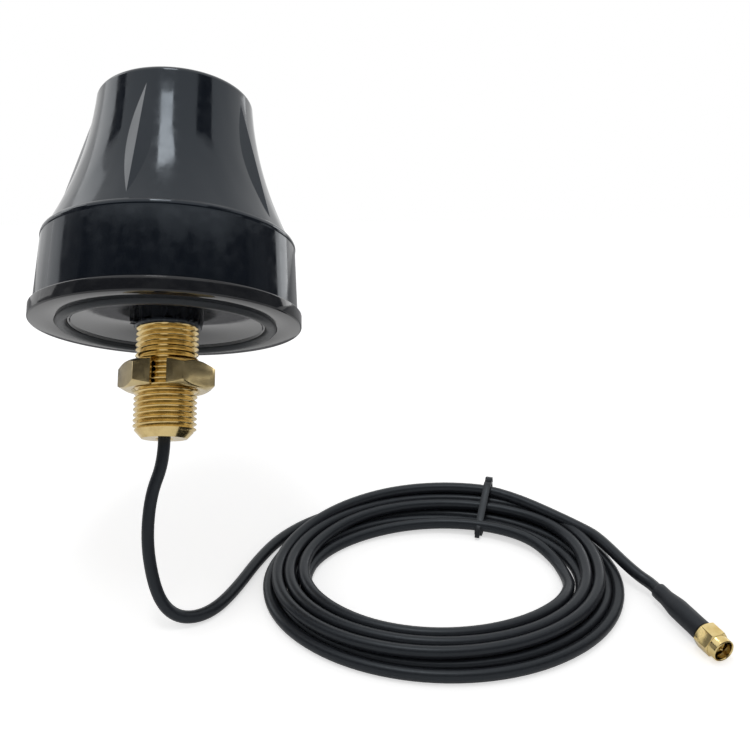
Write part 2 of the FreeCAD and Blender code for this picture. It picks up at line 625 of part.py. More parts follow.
def rounded_path(points, name):
    """Wire of straight runs joined by tangent arcs, as large as the runs allow."""
    edges = []
    start = points[0]
    radii = []
    for before, corner, after in zip(points, points[1:], points[2:]):
        back = before - corner
        ahead = after - corner
        run = min(back.Length, ahead.Length)
        reach = 0.45 * run
        turn = math.pi - back.getAngle(ahead)
        radii.append(reach / math.tan(turn / 2))
        back.normalize()
        ahead.normalize()
        enter = corner + back * reach
        leave = corner + ahead * reach
        bisector = back + ahead
        bisector.normalize()
        offset = radii[-1] / math.cos(turn / 2) - radii[-1]
        middle = corner + bisector * offset
        edges.append(line(start, enter))
        edges.append(Part.Arc(enter, middle, leave).toShape())
        start = leave
    edges.append(line(start, points[-1]))
    path = Part.Wire(edges)
    print(name, "length", round(path.Length, 1), "radii", [round(r, 1) for r in radii])
    return path


def tube(path):
    """Solid tube of the lead's diameter along a path."""
    start = path.Edges[0]
    direction = start.tangentAt(start.FirstParameter)
    circle = Part.Wire(Part.makeCircle(LEAD_RADIUS, start.valueAt(start.FirstParameter), direction))
    sweep = Part.BRepOffsetAPI.MakePipeShell(path)
    sweep.add(circle)
    sweep.build()
    sweep.makeSolid()
    solid = sweep.shape()
    expected = math.pi * LEAD_RADIUS ** 2 * path.Length
    print("tube volume", round(solid.Volume, 1), "section times length", round(expected, 1))
    return solid


def to_slope(shape):
    """Move a shape from a level bench at the origin onto the sloping ground."""
    shape.rotate(V(0, 0, 0), V(1, 0, 0), GROUND_ANGLE)
    shape.translate(V(0, GROUND_Y, GROUND_Z))
    return shape


def coil_arcs():
    """Centre, start direction and sweep of the four arcs of the oval, on a level bench."""
    a, b, r1 = COIL_HALF_LENGTH, COIL_HALF_WIDTH, COIL_END_RADIUS
    r2 = ((a - r1) ** 2 + b ** 2 - r1 ** 2) / (2 * (b - r1))
    lean = math.degrees(math.atan2(r2 - b, a - r1))
    end_sweep = 2 * lean
    side_sweep = 180 - end_sweep
    return [
        (V(a - r1, 0, 0), r1, -lean, end_sweep),
        (V(0, b - r2, 0), r2, lean, side_sweep),
        (V(r1 - a, 0, 0), r1, 180 - lean, end_sweep),
        (V(0, r2 - b, 0), r2, 180 + lean, side_sweep)]


def oval_section(half_width, half_height):
    """Upright oval in the XZ plane about the origin, with straight sides."""
    turns = [2 * math.pi * (k + 0.5) / COIL_SECTION_SIDES for k in range(COIL_SECTION_SIDES)]
    corners = [rz(half_width * math.cos(turn), half_height * math.sin(turn)) for turn in turns]
    return Part.Wire(Part.makePolygon(corners + corners[:1]).Edges)


def coil_solid():
    """Closed solid of the coil's outer shape, lying on the slope."""
    parts = []
    for centre, radius, start, sweep in coil_arcs():
        section = Part.Face(oval_section(COIL_SECTION_HALF_WIDTH, COIL_SECTION_HALF_HEIGHT))
        section.translate(V(radius, 0, COIL_SECTION_HALF_HEIGHT))
        section.rotate(V(0, 0, 0), V(0, 0, 1), start)
        section.translate(centre)
        parts.append(section.revolve(centre, V(0, 0, 1), sweep))
    whole = parts[0].multiFuse(parts[1:])
    whole.translate(V(COIL_CENTRE_X, COIL_CENTRE_V, 0))
    return to_slope(whole)


def coil_tie(coil):
    """Flat tie wrapped once round the far side of the coil."""
    outer = Part.Face(oval_section(
        COIL_SECTION_HALF_WIDTH + TIE_THICKNESS, COIL_SECTION_HALF_HEIGHT + TIE_THICKNESS))
    band = outer.extrude(V(0, TIE_WIDTH, 0))
    centre, radius = coil_arcs()[1][:2]
    band.translate(V(radius, -TIE_WIDTH / 2, COIL_SECTION_HALF_HEIGHT))
    band.rotate(V(0, 0, 0), V(0, 0, 1), TIE_ANGLE)
    band.translate(centre + V(COIL_CENTRE_X, COIL_CENTRE_V, 0))
    return to_slope(band).cut(coil)


def on_plug(shape):
    """Move a shape made along +Z onto the plug's axis."""
    heading = math.radians(PLUG_HEADING)
    start = on_ground(PLUG_START_X, PLUG_START_V, PLUG_AXIS_HEIGHT)
    ahead = on_ground(PLUG_START_X + math.cos(heading), PLUG_START_V + math.sin(heading), PLUG_AXIS_HEIGHT)
    upward = on_ground(0, 0, 1) - on_ground(0, 0, 0)
    turn = FreeCAD.Rotation(upward.cross(ahead - start), upward, ahead - start, "ZXY")
    shape.Placement = FreeCAD.Placement(start, turn).multiply(shape.Placement)
    return shape


def shrink_sleeve():
    """Shrunk sleeve over the ferrule and the end of the jacket."""
    tight = FERRULE_CLEARANCE
    neck_in = LEAD_RADIUS + tight
    wide_in = FERRULE_OUTER + tight
    neck_out = neck_in + SLEEVE_WALL
    wide_out = wide_in + SLEEVE_WALL
    step = FERRULE_START - SLEEVE_STEP
    return turned(outline([
        (neck_in, 0), (neck_out, 0), (neck_out, SLEEVE_NECK_LENGTH), (wide_out, FERRULE_START),
        (wide_out, SLEEVE_LENGTH), (wide_in, SLEEVE_LENGTH), (wide_in, FERRULE_START - tight),
        (neck_in, step)]))


def crimp_ferrule():
    return ring(FERRULE_OUTER, FERRULE_INNER, FERRULE_START, SLEEVE_LENGTH)


def plug_body():
    """Turned body: rear stem in the ferrule, flange, neck and front barrel."""
    return turned(outline([
        (0, TAIL_END), (LEAD_RADIUS, TAIL_END), (LEAD_RADIUS, SLEEVE_LENGTH),
        (BODY_FLANGE_RADIUS, SLEEVE_LENGTH), (BODY_FLANGE_RADIUS, BODY_NECK_START),
        (BODY_NECK_RADIUS, BODY_NECK_START), (BODY_NECK_RADIUS, COUPLING_CAVITY_START),
        (BARREL_RADIUS, COUPLING_CAVITY_START), (BARREL_RADIUS, BARREL_END),
        (BARREL_BORE_RADIUS, BARREL_END), (BARREL_BORE_RADIUS, BODY_NECK_START),
        (0, BODY_NECK_START)]))


def coupling_nut():
    """Hexagon nut with a round nose, free to turn on the body's neck."""
    hex_end = COUPLING_START + COUPLING_HEX_LENGTH
    face_radius = COUPLING_FLATS / 2 - COUPLING_FACE_INSET
    nose_radius = COUPLING_THREAD_RADIUS + COUPLING_NOSE_WALL
    nut = chamfered_hexagon(COUPLING_FLATS, COUPLING_START, hex_end, face_radius, NUT_CHAMFER_ANGLE)
    nut = nut.fuse(turned(outline([
        (0, hex_end), (nose_radius, hex_end), (nose_radius, COUPLING_END - COUPLING_END_CHAMFER),
        (nose_radius - COUPLING_END_CHAMFER, COUPLING_END), (0, COUPLING_END)])))
    rear_bore = BODY_NECK_RADIUS + COUPLING_CLEARANCE
    nut = nut.cut(cylinder(rear_bore, COUPLING_START, COUPLING_CAVITY_START))
    nut = nut.cut(cylinder(COUPLING_THREAD_RADIUS, COUPLING_CAVITY_START, COUPLING_END))
    return nut.removeSplitter()


def snap_ring():
    """Split ring on the barrel, behind the neck's step, that keeps the coupling nut on."""
    start = COUPLING_CAVITY_START + COUPLING_CLEARANCE
    end = start + SNAP_RING_THICKNESS
    outer = BODY_NECK_RADIUS + SNAP_RING_STEP
    split = ring(outer, BARREL_RADIUS, start, end)
    return split.cut(box(0, outer, -SNAP_RING_GAP / 2, SNAP_RING_GAP / 2, start, end))


def plug_gasket():
    """Soft ring that seals against the mating thread."""
    start = COUPLING_CAVITY_START + SNAP_RING_THICKNESS + 2 * COUPLING_CLEARANCE
    outer = COUPLING_THREAD_RADIUS - COUPLING_CLEARANCE
    return ring(outer, BARREL_RADIUS, start, start + GASKET_THICKNESS)


def plug_insulator():
    return ring(BARREL_BORE_RADIUS, PIN_RADIUS, BODY_NECK_START, BARREL_END - INSULATOR_SET_BACK)


def plug_pin():
    tip = PIN_RADIUS * 0.9
    return turned(outline([
        (0, BODY_NECK_START), (PIN_RADIUS, BODY_NECK_START), (PIN_RADIUS, PIN_END - tip),
        (PIN_RADIUS * 0.35, PIN_END), (0, PIN_END)]))


def lead_path():
    mouth = V(0, 0, STUD_END_Z)
    hanging = [V(*point) for point in LEAD_HANGING]
    lying = [on_ground(*point) for point in LEAD_LYING]
    return rounded_path([mouth] + hanging + lying, "lead")


def tail_path():
    lying = [on_ground(*point) for point in TAIL_LYING]
    plug_axis = on_plug(Part.Vertex(0, 0, 0)).Point
    plug_inside = on_plug(Part.Vertex(0, 0, TAIL_END)).Point
    return rounded_path(lying + [plug_axis, plug_inside], "tail")


coil = coil_solid()
nodes = {
    "radome": radome(),
    "base": base(),
    "sealing_ring": sealing_ring(),
    "threaded_stud": stud(),
    "slotted_nut": slotted_nut(),
    "sealant_bead": sealant_bead(),
    "ground_plate": ground_plate(),
    "plate_screws": plate_screws(),
    "lock_washer": lock_washer(),
    "lock_nut": lock_nut(),
    "antenna_board": antenna_board(),
    "radiator": radiator(),
    "board_clip_left": board_clip(-1),
    "board_clip_right": board_clip(1),
    "clip_screws": clip_screws(),
    "board_screws": board_screws(),
    "feed_cable": cylinder(LEAD_RADIUS, STUD_END_Z, JACKET_TOP_Z),
    "feed_braid": cylinder(BRAID_RADIUS, JACKET_TOP_Z, JACKET_TOP_Z + BRAID_LENGTH),
    "feed_dielectric": cylinder(DIELECTRIC_RADIUS, JACKET_TOP_Z + BRAID_LENGTH, WIRE_BOTTOM_Z),
    "feed_wire": cylinder(WIRE_RADIUS, WIRE_BOTTOM_Z, WIRE_BOTTOM_Z + WIRE_LENGTH),
    "solder_joint": solder_joint(),
    "lead_tube": tube(lead_path()).cut(coil),
    "lead_coil": coil,
    "tail_tube": tube(tail_path()).cut(coil),
    "coil_tie": coil_tie(coil),
    "shrink_sleeve": on_plug(shrink_sleeve()),
    "crimp_ferrule": on_plug(crimp_ferrule()),
    "plug_body": on_plug(plug_body()),
    "coupling_nut": on_plug(coupling_nut()),
    "snap_ring": on_plug(snap_ring()),
    "plug_gasket": on_plug(plug_gasket()),
    "plug_insulator": on_plug(plug_insulator()),
    "plug_pin": on_plug(plug_pin()),
}

for name, shape in nodes.items():
    print(name, "solids", len(shape.Solids), "valid", shape.isValid(), "volume", round(shape.Volume, 2))
    shape.exportStep("parts/" + name + ".step")
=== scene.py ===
# %% [markdown]
# # A puck antenna
# The object is a black bell-shaped cover on a round sealed base. A threaded brass stud with a
# slotted nut hangs below it, and a thin coaxial lead runs from the stud into a tied coil and a
# gold plug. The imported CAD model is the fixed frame. This lesson adds the surfaces that show: the
# moulded ribs, the screw thread, the soft edges, the wound lead and all the finishes.

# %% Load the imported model
import math

import bpy
from mathutils import Matrix, Vector


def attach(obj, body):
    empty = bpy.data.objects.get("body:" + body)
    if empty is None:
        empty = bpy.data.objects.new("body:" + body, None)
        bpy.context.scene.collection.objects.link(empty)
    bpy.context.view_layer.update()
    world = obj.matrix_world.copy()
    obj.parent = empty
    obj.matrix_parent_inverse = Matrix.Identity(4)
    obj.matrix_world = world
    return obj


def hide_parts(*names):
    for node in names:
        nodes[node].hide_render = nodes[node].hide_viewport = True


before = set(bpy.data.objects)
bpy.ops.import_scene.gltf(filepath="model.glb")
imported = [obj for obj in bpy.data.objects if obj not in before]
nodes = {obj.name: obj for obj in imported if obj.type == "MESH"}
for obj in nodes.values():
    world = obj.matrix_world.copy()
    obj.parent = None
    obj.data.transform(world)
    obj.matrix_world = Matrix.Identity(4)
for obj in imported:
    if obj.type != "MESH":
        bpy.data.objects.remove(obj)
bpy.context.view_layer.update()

scene = bpy.context.scene
scene.view_settings.view_transform = "Standard"

# %% [markdown]
# The camera comes first. Its place and tilt were fitted to the stud, the base's rim and the cover
# in the photograph, so every piece can be set against the picture from the first render on. It
# looks a little upwards, because it stands lower than the base.

# %% Camera
camera = bpy.data.objects.new("camera", bpy.data.cameras.new("camera"))
scene.collection.objects.link(camera)
camera.data.sensor_width = 36.0
camera.data.lens = 43.2
camera.data.clip_start = 0.01
pitch = math.radians(10.95)
roll = math.radians(-0.55)
forward = Vector((0, math.cos(pitch), math.sin(pitch)))
level_up = Vector((0, -math.sin(pitch), math.cos(pitch)))
right = Vector((math.cos(roll), 0, 0)) + math.sin(roll) * level_up
upward = math.cos(roll) * level_up - Vector((math.sin(roll), 0, 0))
turn = Matrix((right, upward, -forward)).transposed().to_4x4()
camera_place = Vector((0.0698, -0.2958, -0.0742))
camera.matrix_world = Matrix.Translation(camera_place) @ turn
scene.camera = camera
print("camera", tuple(round(v, 4) for v in camera.location))

# %% [markdown]
# The loose lead lies on ground that rises away from the camera. A small helper turns "along x, up
# the slope, above the slope", in millimetres, into a point of the frame in metres. The same slope
# is later the rear part of the studio sweep.

# %% The sloping ground
SLOPE = math.radians(35.0)
SLOPE_Y, SLOPE_Z = 9.3, -98.2


def on_slope(x, along, height):
    """Frame point, in metres, of a place on the slope given in millimetres."""
    y = SLOPE_Y + along * math.cos(SLOPE) - height * math.sin(SLOPE)
    z = SLOPE_Z + along * math.sin(SLOPE) + height * math.cos(SLOPE)
    return Vector((x, y, z)) / 1000


print("slope normal", (on_slope(0, 0, 1000) - on_slope(0, 0, 0)).normalized())

# %% [markdown]
# The lead is one limp cord of 4.2 mm. It leaves the stud, bends down to the ground, goes about
# seven times round the oval coil, and ends in the plug. It could be a swept mesh, but one smooth
# NURBS curve keeps its true length and thickness along all the turns. The lower row of turns
# winds inwards, one turn climbs onto it, and the upper row winds back outwards. The turns are
# close at the tie and fan out opposite to it, as they do where nothing holds them.

# %% Points of the lead before the coil
CORD = 4.2
LYING = CORD / 2
lead_points = [
    Vector(point) / 1000 for point in [
        (0, 0, -37.8), (0, 0, -45.5), (-3.9, 0.3, -56), (-5.0, 1.5, -70.5), (-2.9, 3, -83.5),
        (0.2, 4.8, -91.4), (4.9, 7.3, -95.4)]]
for x, along in [
        (11.2, 1.8), (17, 7.2), (22, 18), (26.9, 32.5), (33.6, 46.2), (44.5, 57.6), (58.5, 65.4),
        (73, 68.6), (86, 68.8)]:
    lead_points.append(on_slope(x, along, LYING))
print("lead points", len(lead_points))

# %% [markdown]
# The coil is an oval. Its angle is counted clockwise in the slope's plane, and with each turn the
# cord moves its own width sideways in the bundle. Small bumps over the angle then move single
# turns to where the photograph shows them: the upper row shifts outwards near the tie, the
# climbing turn and the last lower one bow inwards, and the last of all rises above its neighbours
# before it leaves for the plug.

# %% Points of the coil's turns
TURN_POINTS = 18
TURNS = 7
FIRST_ANGLE = 52.0
LAST_ANGLE = 78.0
TIE_ANGLE = 66.0
COIL_X, COIL_V = 91.6, 20.9
HALF_X, HALF_V = 54.6 * 1.012, 41.8 * 1.012
UPPER_ROW = 6.25


def lane(turns):
    """Sideways place and height, in millimetres, of the cord after that many turns."""
    if turns < 4:
        return 2 * CORD - CORD * turns, LYING
    if turns < 5:
        climb = turns - 4
        lift = math.radians(180 - 120 * climb)
        return -CORD - CORD * climb + CORD * math.cos(lift), LYING + CORD * math.sin(lift)
    return -1.5 * CORD + CORD * (turns - 5), UPPER_ROW


def bump(angle, middle, reach):
    """Smooth hill of height one at the middle angle."""
    away = (angle - middle + 180) % 360 - 180
    return 0.5 + 0.5 * math.cos(math.pi * away / reach) if abs(away) < reach else 0.0


coil_points = []
step = 360.0 / TURN_POINTS
turned_angle = FIRST_ANGLE
while turned_angle < TURNS * 360 + LAST_ANGLE:
    turns = turned_angle / 360
    angle = turned_angle % 360
    offset, height = lane(turns)
    fan = 1.02 - 0.02 * math.cos(math.radians(angle - TIE_ANGLE))
    wander = 0.25 * math.sin(math.radians(2.3 * turned_angle + 40 * int(turns)))
    offset = offset * fan + wander * (1 - bump(angle, TIE_ANGLE, 60))
    gathered = bump(angle, 55, 100)
    if 4 < turns < 5:
        apart = bump(angle, 126, 44)
        offset -= 2.4 * apart
        height += (LYING - height) * apart
    if turns > 4.9:
        offset += 5.8 * gathered + 2.6 * bump(angle, 96, 40)
    if turns > 6.8:
        offset -= 2.2 * gathered
        height += 3.7 * gathered
    if 3.5 < turns < 5:
        offset -= (0.6 if turns < 4 else 1.0) * bump(angle, 285, 50)
    theta = math.radians(135 - angle)
    normal = Vector((math.cos(theta) / HALF_X, math.sin(theta) / HALF_V)).normalized()
    x = COIL_X + HALF_X * math.cos(theta) + offset * normal.x
    along = COIL_V + HALF_V * math.sin(theta) + offset * normal.y
    coil_points.append(on_slope(x, along, height))
    turned_angle += step
print("coil points", len(coil_points))

# %% Points of the tail up to the plug
PLUG_X, PLUG_V, PLUG_HEIGHT = 164.5, 10.7, 4.05
PLUG_HEADING = math.radians(-69.3)


def plug_point(distance):
    """Point on the plug's axis, that many millimetres from the sleeve's rear end."""
    x = PLUG_X + distance * math.cos(PLUG_HEADING)
    return on_slope(x, PLUG_V + distance * math.sin(PLUG_HEADING), PLUG_HEIGHT)


tail_points = [on_slope(*point) for point in [
    (147.2, 42.0, 7.2), (151.0, 35.4, 7.0), (153.6, 29.4, 6.6), (156.4, 23.4, 5.9),
    (159.8, 18.0, 4.8)]]
tail_points += [plug_point(distance) for distance in (-4.0, 0.0, 11.5)]
print("tail points", len(tail_points))

# %% [markdown]
# Blender widens a curve's box by the radius of its points. So the points carry the cord's real
# radius and the bevel depth is one, and the box comes out right.

# %% One smooth curve through the route
route = lead_points + coil_points + tail_points
curve = bpy.data.curves.new("coaxial_lead", "CURVE")
curve.dimensions = "3D"
spline = curve.splines.new("NURBS")
spline.points.add(len(route) - 1)
for control, point in zip(spline.points, route):
    control.co = (*point, 1.0)
    control.radius = LYING / 1000
spline.order_u = 3
spline.use_endpoint_u = True
spline.resolution_u = 6
curve.bevel_depth = 1.0
curve.bevel_resolution = 3
curve.use_fill_caps = True
lead = bpy.data.objects.new("coaxial_lead", curve)
scene.collection.objects.link(lead)
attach(lead, "antenna")
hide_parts("lead_tube", "lead_coil", "tail_tube")
print("control points", len(route))

# %% [markdown]
# Most pieces are turned on a lathe or moulded round an axis. The helper works as by hand: one
# vertex is pushed from corner to corner of the half section, and the finished outline is spun
# about the axis. Doubles are merged and the normals recalculated, because a spin can turn a shape
# inside out.

# %% Helpers for edit mode
MERGE_DISTANCE = 0.000002


def deselect():
    """Leave edit mode and select nothing."""
    if bpy.context.mode != "OBJECT":
        bpy.ops.object.mode_set(mode="OBJECT")
    bpy.ops.object.select_all(action="DESELECT")


def choose(piece):
    """Make one object the selected and active one."""
    deselect()
    piece.select_set(True)
    bpy.context.view_layer.objects.active = piece


def apply_place(piece):
    """Put an object's place into its mesh."""
    choose(piece)
    bpy.ops.object.transform_apply(location=True, rotation=True, scale=True)


def drawn(name, points):
    """Line of edges through points in millimetres, left in edit mode."""
    deselect()
    bpy.ops.mesh.primitive_plane_add(size=0.001, location=(0, 0, 0))
    bpy.context.object.name = name
    bpy.ops.object.mode_set(mode="EDIT")
    bpy.ops.mesh.select_mode(type="VERT")
    bpy.ops.mesh.select_all(action="SELECT")
    bpy.ops.mesh.merge(type="CENTER")
    here = Vector(points[0]) / 1000
    bpy.ops.transform.translate(value=here)
    for point in points[1:]:
        there = Vector(point) / 1000
        bpy.ops.mesh.extrude_vertices_move(TRANSFORM_OT_translate={"value": there - here})
        here = there
    return bpy.context.object


def pull_edges(by):
    """Pull a drawn line sideways into a sheet, by a vector in metres."""
    bpy.ops.mesh.select_all(action="SELECT")
    bpy.ops.mesh.extrude_edges_move(TRANSFORM_OT_translate={"value": by})


def tidy_mesh():
    """Merge doubles and point the faces outwards; leaves edit mode."""
    bpy.ops.mesh.select_all(action="SELECT")
    bpy.ops.mesh.remove_doubles(threshold=MERGE_DISTANCE)
    bpy.ops.mesh.normals_make_consistent(inside=False)
    bpy.ops.object.mode_set(mode="OBJECT")


def turned(name, section, steps):
    """Closed ring or solid turned about Z from radius and height pairs in millimetres."""
    piece = drawn(name, [(r, 0, z) for r, z in section + section[:1]])
    bpy.ops.mesh.select_all(action="SELECT")
    bpy.ops.mesh.spin(steps=steps, angle=2 * math.pi, center=(0, 0, 0), axis=(0, 0, 1))
    tidy_mesh()
    return piece


def arc(start, middle, end, count):
    """Points of the circular arc through three radius and height pairs, without its start."""
    a, b, c = Vector(start), Vector(middle), Vector(end)
    ab, ac = b - a, c - a
    cross = 2 * (ab.x * ac.y - ab.y * ac.x)
    centre = a + Vector((ac.y * ab.length_squared - ab.y * ac.length_squared,
                         ab.x * ac.length_squared - ac.x * ab.length_squared)) / cross
    first = math.atan2(a.y - centre.y, a.x - centre.x)
    sweep = math.atan2(c.y - centre.y, c.x - centre.x) - first
    half = math.atan2(b.y - centre.y, b.x - centre.x) - first
    sweep = (sweep + math.pi) % (2 * math.pi) - math.pi
    half = (half + math.pi) % (2 * math.pi) - math.pi
    if half * sweep < 0:
        sweep -= math.copysign(2 * math.pi, sweep)
    radius = (a - centre).length
    return [(centre.x + radius * math.cos(first + sweep * k / count),
             centre.y + radius * math.sin(first + sweep * k / count)) for k in range(1, count + 1)]


def smooth(piece, angle):
    """Shade smooth wherever faces meet at less than the angle."""
    choose(piece)
    bpy.ops.object.shade_smooth_by_angle(angle=math.radians(angle))


def joined(name, pieces):
    """Join several objects into one mesh."""
    deselect()
    for piece in pieces:
        piece.select_set(True)
    bpy.context.view_layer.objects.active = pieces[0]
    bpy.ops.object.join()
    whole = bpy.context.object
    whole.name = name
    return whole


def modify(piece, kind, **settings):
    """Add one modifier with its settings and apply it."""
    choose(piece)
    modifier = piece.modifiers.new("change", kind)
    for label, value in settings.items():
        setattr(modifier, label, value)
    bpy.ops.object.modifier_apply(modifier="change")


def combine(piece, tool, operation):
    """Boolean of two closed meshes; the tool is used up."""
    modify(piece, "BOOLEAN", object=tool, operation=operation, solver="EXACT")
    bpy.data.objects.remove(tool)


def soften(piece, width, angle=30.0):
    """Small rounds along the sharp edges, in millimetres."""
    modify(piece, "BEVEL", width=width / 1000, segments=2, limit_method="ANGLE",
           angle_limit=math.radians(angle))


def fit_out(piece, body, node):
    """Attach a piece to its body, hide the CAD node that it stands for, and print its face count.
    """
    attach(piece, body)
    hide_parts(node)
    print(piece.name, "faces", len(piece.data.polygons))


# %% [markdown]
# The cover is a thin moulding: a nearly upright band, a rounded shoulder, a hollow bell and a
# slightly domed crown. It is turned as one closed shell with its inner wall. Five gussets with a
# straight crest bridge the bell's hollow curve, so each one stands proud only in its middle and
# looks like a long blade. They are drawn as prisms and joined to the shell with a boolean, which
# keeps their crisp crests and the fine line where they meet the bell.

# %% Cover: the turned shell
WALL = 2.6
BAND_TOP = (42.5, 27.2)
BELL_FOOT, BELL_MIDDLE, BELL_TOP = (41.0, 30.0), (31.4, 54.8), (27.0, 79.6)
CROWN_EDGE, CROWN_MIDDLE = (24.6, 82.0), (0.0, 83.2)
outer = [(43.45, 4.85), (43.6, 5.0), BAND_TOP]
outer += arc(BAND_TOP, (42.455, 28.977), BELL_FOOT, 8)
outer += arc(BELL_FOOT, BELL_MIDDLE, BELL_TOP, 30)
outer += arc(BELL_TOP, (26.297, 81.297), CROWN_EDGE, 8)
outer += arc(CROWN_EDGE, (12.4, 82.895), CROWN_MIDDLE, 10)
inner = [(0.0, 79.4), (25.2, 79.4)]
inner += [(r - WALL, z) for r, z in arc(BELL_FOOT, BELL_MIDDLE, BELL_TOP, 12)[-3::-1]]
inner += [(38.4, 30.0), (40.03, 24.6), (41.0, 4.85)]
cover = turned("cover", outer + inner, steps=180)
print("cover", len(cover.data.vertices), "vertices")

# %% Cover: the five ribs
RIBS = 5
FIRST_RIB = -7.0
RIB_LOW, RIB_HIGH = Vector((39.95, 0, 31.4)), Vector((27.51, 0, 74.5))
RIB_RUN_IN = 2.0
RIB_PROUD = 0.12
RIB_DEPTH = 3.2
RIB_HALF_WIDTH = 6.2


def rib(angle):
    """Prism with its crest along the chord of the bell's curve."""
    run = (RIB_HIGH - RIB_LOW).normalized()
    outward = Vector((run.z, 0, -run.x))
    low = RIB_LOW - run * RIB_RUN_IN + outward * RIB_PROUD
    foot = low - outward * RIB_DEPTH
    side = Vector((0, RIB_HALF_WIDTH, 0))
    piece = drawn("rib", [low, foot + side, foot - side])
    bpy.ops.mesh.select_all(action="SELECT")
    bpy.ops.mesh.edge_face_add()
    length = (RIB_HIGH - low).dot(run) + RIB_RUN_IN
    bpy.ops.mesh.extrude_region_move(TRANSFORM_OT_translate={"value": run * length / 1000})
    tidy_mesh()
    piece.rotation_euler.z = math.radians(angle - 90)
    apply_place(piece)
    return piece


for k in range(RIBS):
    combine(cover, rib(FIRST_RIB + 360 / RIBS * k), "UNION")
smooth(cover, 9)
fit_out(cover, "antenna", "radome")

# %% [markdown]
# The base is a flat-bottomed moulding with a groove for the sealing ring, a disc set back a
# little inside a fine lip, and a spigot that carries the cover. Its sharp corners get small
# rounds, since these catch the light along the rim. Three bosses inside take the screws of the
# ground plate.

# %% Base
BOSS_CIRCLE = 27.99
base = turned("base", [
    (10.63, 0.8), (31.45, 0.8), (31.95, 0.3), (32.6, 0.3), (32.6, 2.55), (36.6, 2.55),
    (36.6, 0.0), (44.6, 0.0), (45.0, 0.4), (45.0, 4.4), (44.6, 4.8), (40.8, 4.8), (40.6, 9.0),
    (38.6, 9.0), (38.6, 4.8), (10.63, 4.8)], steps=180)
soften(base, 0.14, 25)
bosses = []
for k in range(3):
    boss = turned("boss", [
        (1.3, 4.5), (3.5, 4.5), (3.5, 7.6), (3.4, 7.8), (1.3, 7.8)], steps=32)
    place = math.radians(60 + 120 * k)
    boss_x, boss_y = BOSS_CIRCLE * math.sin(place), -BOSS_CIRCLE * math.cos(place)
    boss.location = Vector((boss_x, boss_y, 0)) / 1000
    apply_place(boss)
    bosses.append(boss)
base = joined("base_moulding", [base] + bosses)
smooth(base, 28)
fit_out(base, "antenna", "base")

# %% [markdown]
# The sealing ring is a rubber ring of round section pressed into the groove. A torus primitive
# has the right form. Its top is cut flat where the groove's roof presses it, and the cut is
# closed again.

# %% Sealing ring
deselect()
bpy.ops.mesh.primitive_torus_add(
    major_radius=0.0346, minor_radius=0.00193, major_segments=144, minor_segments=20,
    location=(0, 0, 0.00055))
seal = bpy.context.object
seal.name = "sealing_ring_round"
GROOVE_ROOF = (0, 0, 0.00235)
bpy.ops.object.mode_set(mode="EDIT")
bpy.ops.mesh.select_all(action="SELECT")
bpy.ops.mesh.bisect(plane_co=GROOVE_ROOF, plane_no=(0, 0, 1), clear_outer=True, use_fill=False)
bpy.ops.mesh.select_all(action="DESELECT")
bpy.ops.mesh.select_non_manifold()
bpy.ops.mesh.bridge_edge_loops()
tidy_mesh()
apply_place(seal)
smooth(seal, 40)
fit_out(seal, "antenna", "sealing_ring")

# %% [markdown]
# The stud has a real pipe thread of 1.814 mm pitch. One turn of its rounded profile is drawn and
# given to a Screw modifier, which winds it upwards; both open ends are closed to the axis. A
# turned envelope with the bore and the chamfered end then trims the winding, as a lathe tool
# would. The flange and the neck inside the cover are turned separately and joined on.

# %% Stud: the wound thread
PITCH = 1.814
WINDS = 26
THREAD_FOOT = -41.1
THREAD_MIDDLE = -0.018
profile = [(9.30, 0.0), (9.42, 0.16), (10.30, 0.70), (10.44, 0.907), (10.30, 1.114),
           (9.42, 1.654), (9.30, PITCH)]
thread = drawn("thread", [(r, 0, z + THREAD_FOOT) for r, z in profile])
modify(thread, "SCREW", axis="Z", angle=2 * math.pi, screw_offset=PITCH / 1000, iterations=WINDS,
       steps=60, render_steps=60, use_merge_vertices=False)
bpy.ops.object.mode_set(mode="EDIT")
bpy.ops.mesh.select_all(action="SELECT")
bpy.ops.mesh.remove_doubles(threshold=0.00001)
for side in (-1, 1):
    bpy.ops.mesh.select_mode(type="VERT")
    bpy.ops.mesh.select_all(action="DESELECT")
    bpy.ops.mesh.select_non_manifold()
    bpy.ops.object.mode_set(mode="OBJECT")
    vertices = thread.data.vertices
    for vertex in vertices:
        if (vertex.co.z - THREAD_MIDDLE) * side < 0:
            vertex.select = False
    for edge in thread.data.edges:
        edge.select = edge.select and all(vertices[v].select for v in edge.vertices)
    for face in thread.data.polygons:
        face.select = False
    bpy.ops.object.mode_set(mode="EDIT")
    bpy.ops.mesh.select_mode(type="EDGE")
    bpy.ops.mesh.edge_face_add()
    bpy.ops.mesh.poke()
tidy_mesh()
print("thread", len(thread.data.polygons), "faces")

# %% Stud: trimmed shank, flange and neck
BORE = 2.6
envelope = turned("envelope", [
    (3.0, -37.8), (7.4775, -37.8), (10.60, -34.47), (10.60, 4.8), (BORE, 4.8), (BORE, -37.4)],
    steps=96)
combine(thread, envelope, "INTERSECT")
neck = turned("neck", [
    (BORE, 4.8), (13.6, 4.8), (13.97, 5.1), (13.97, 7.5), (13.6, 7.8), (8.0, 7.8), (8.0, 14.0),
    (7.7, 14.2), (2.9, 14.2), (BORE, 13.9)], steps=96)
stud = joined("stud", [thread, neck])
smooth(stud, 32)
fit_out(stud, "antenna", "threaded_stud")

# %% [markdown]
# The nut starts as a cylinder with six sides. Its corners are turned off by a cone at both faces,
# which gives the curved bright chamfers, then the bore and the slot for the lead are cut, and
# last all the edges get a fine round.

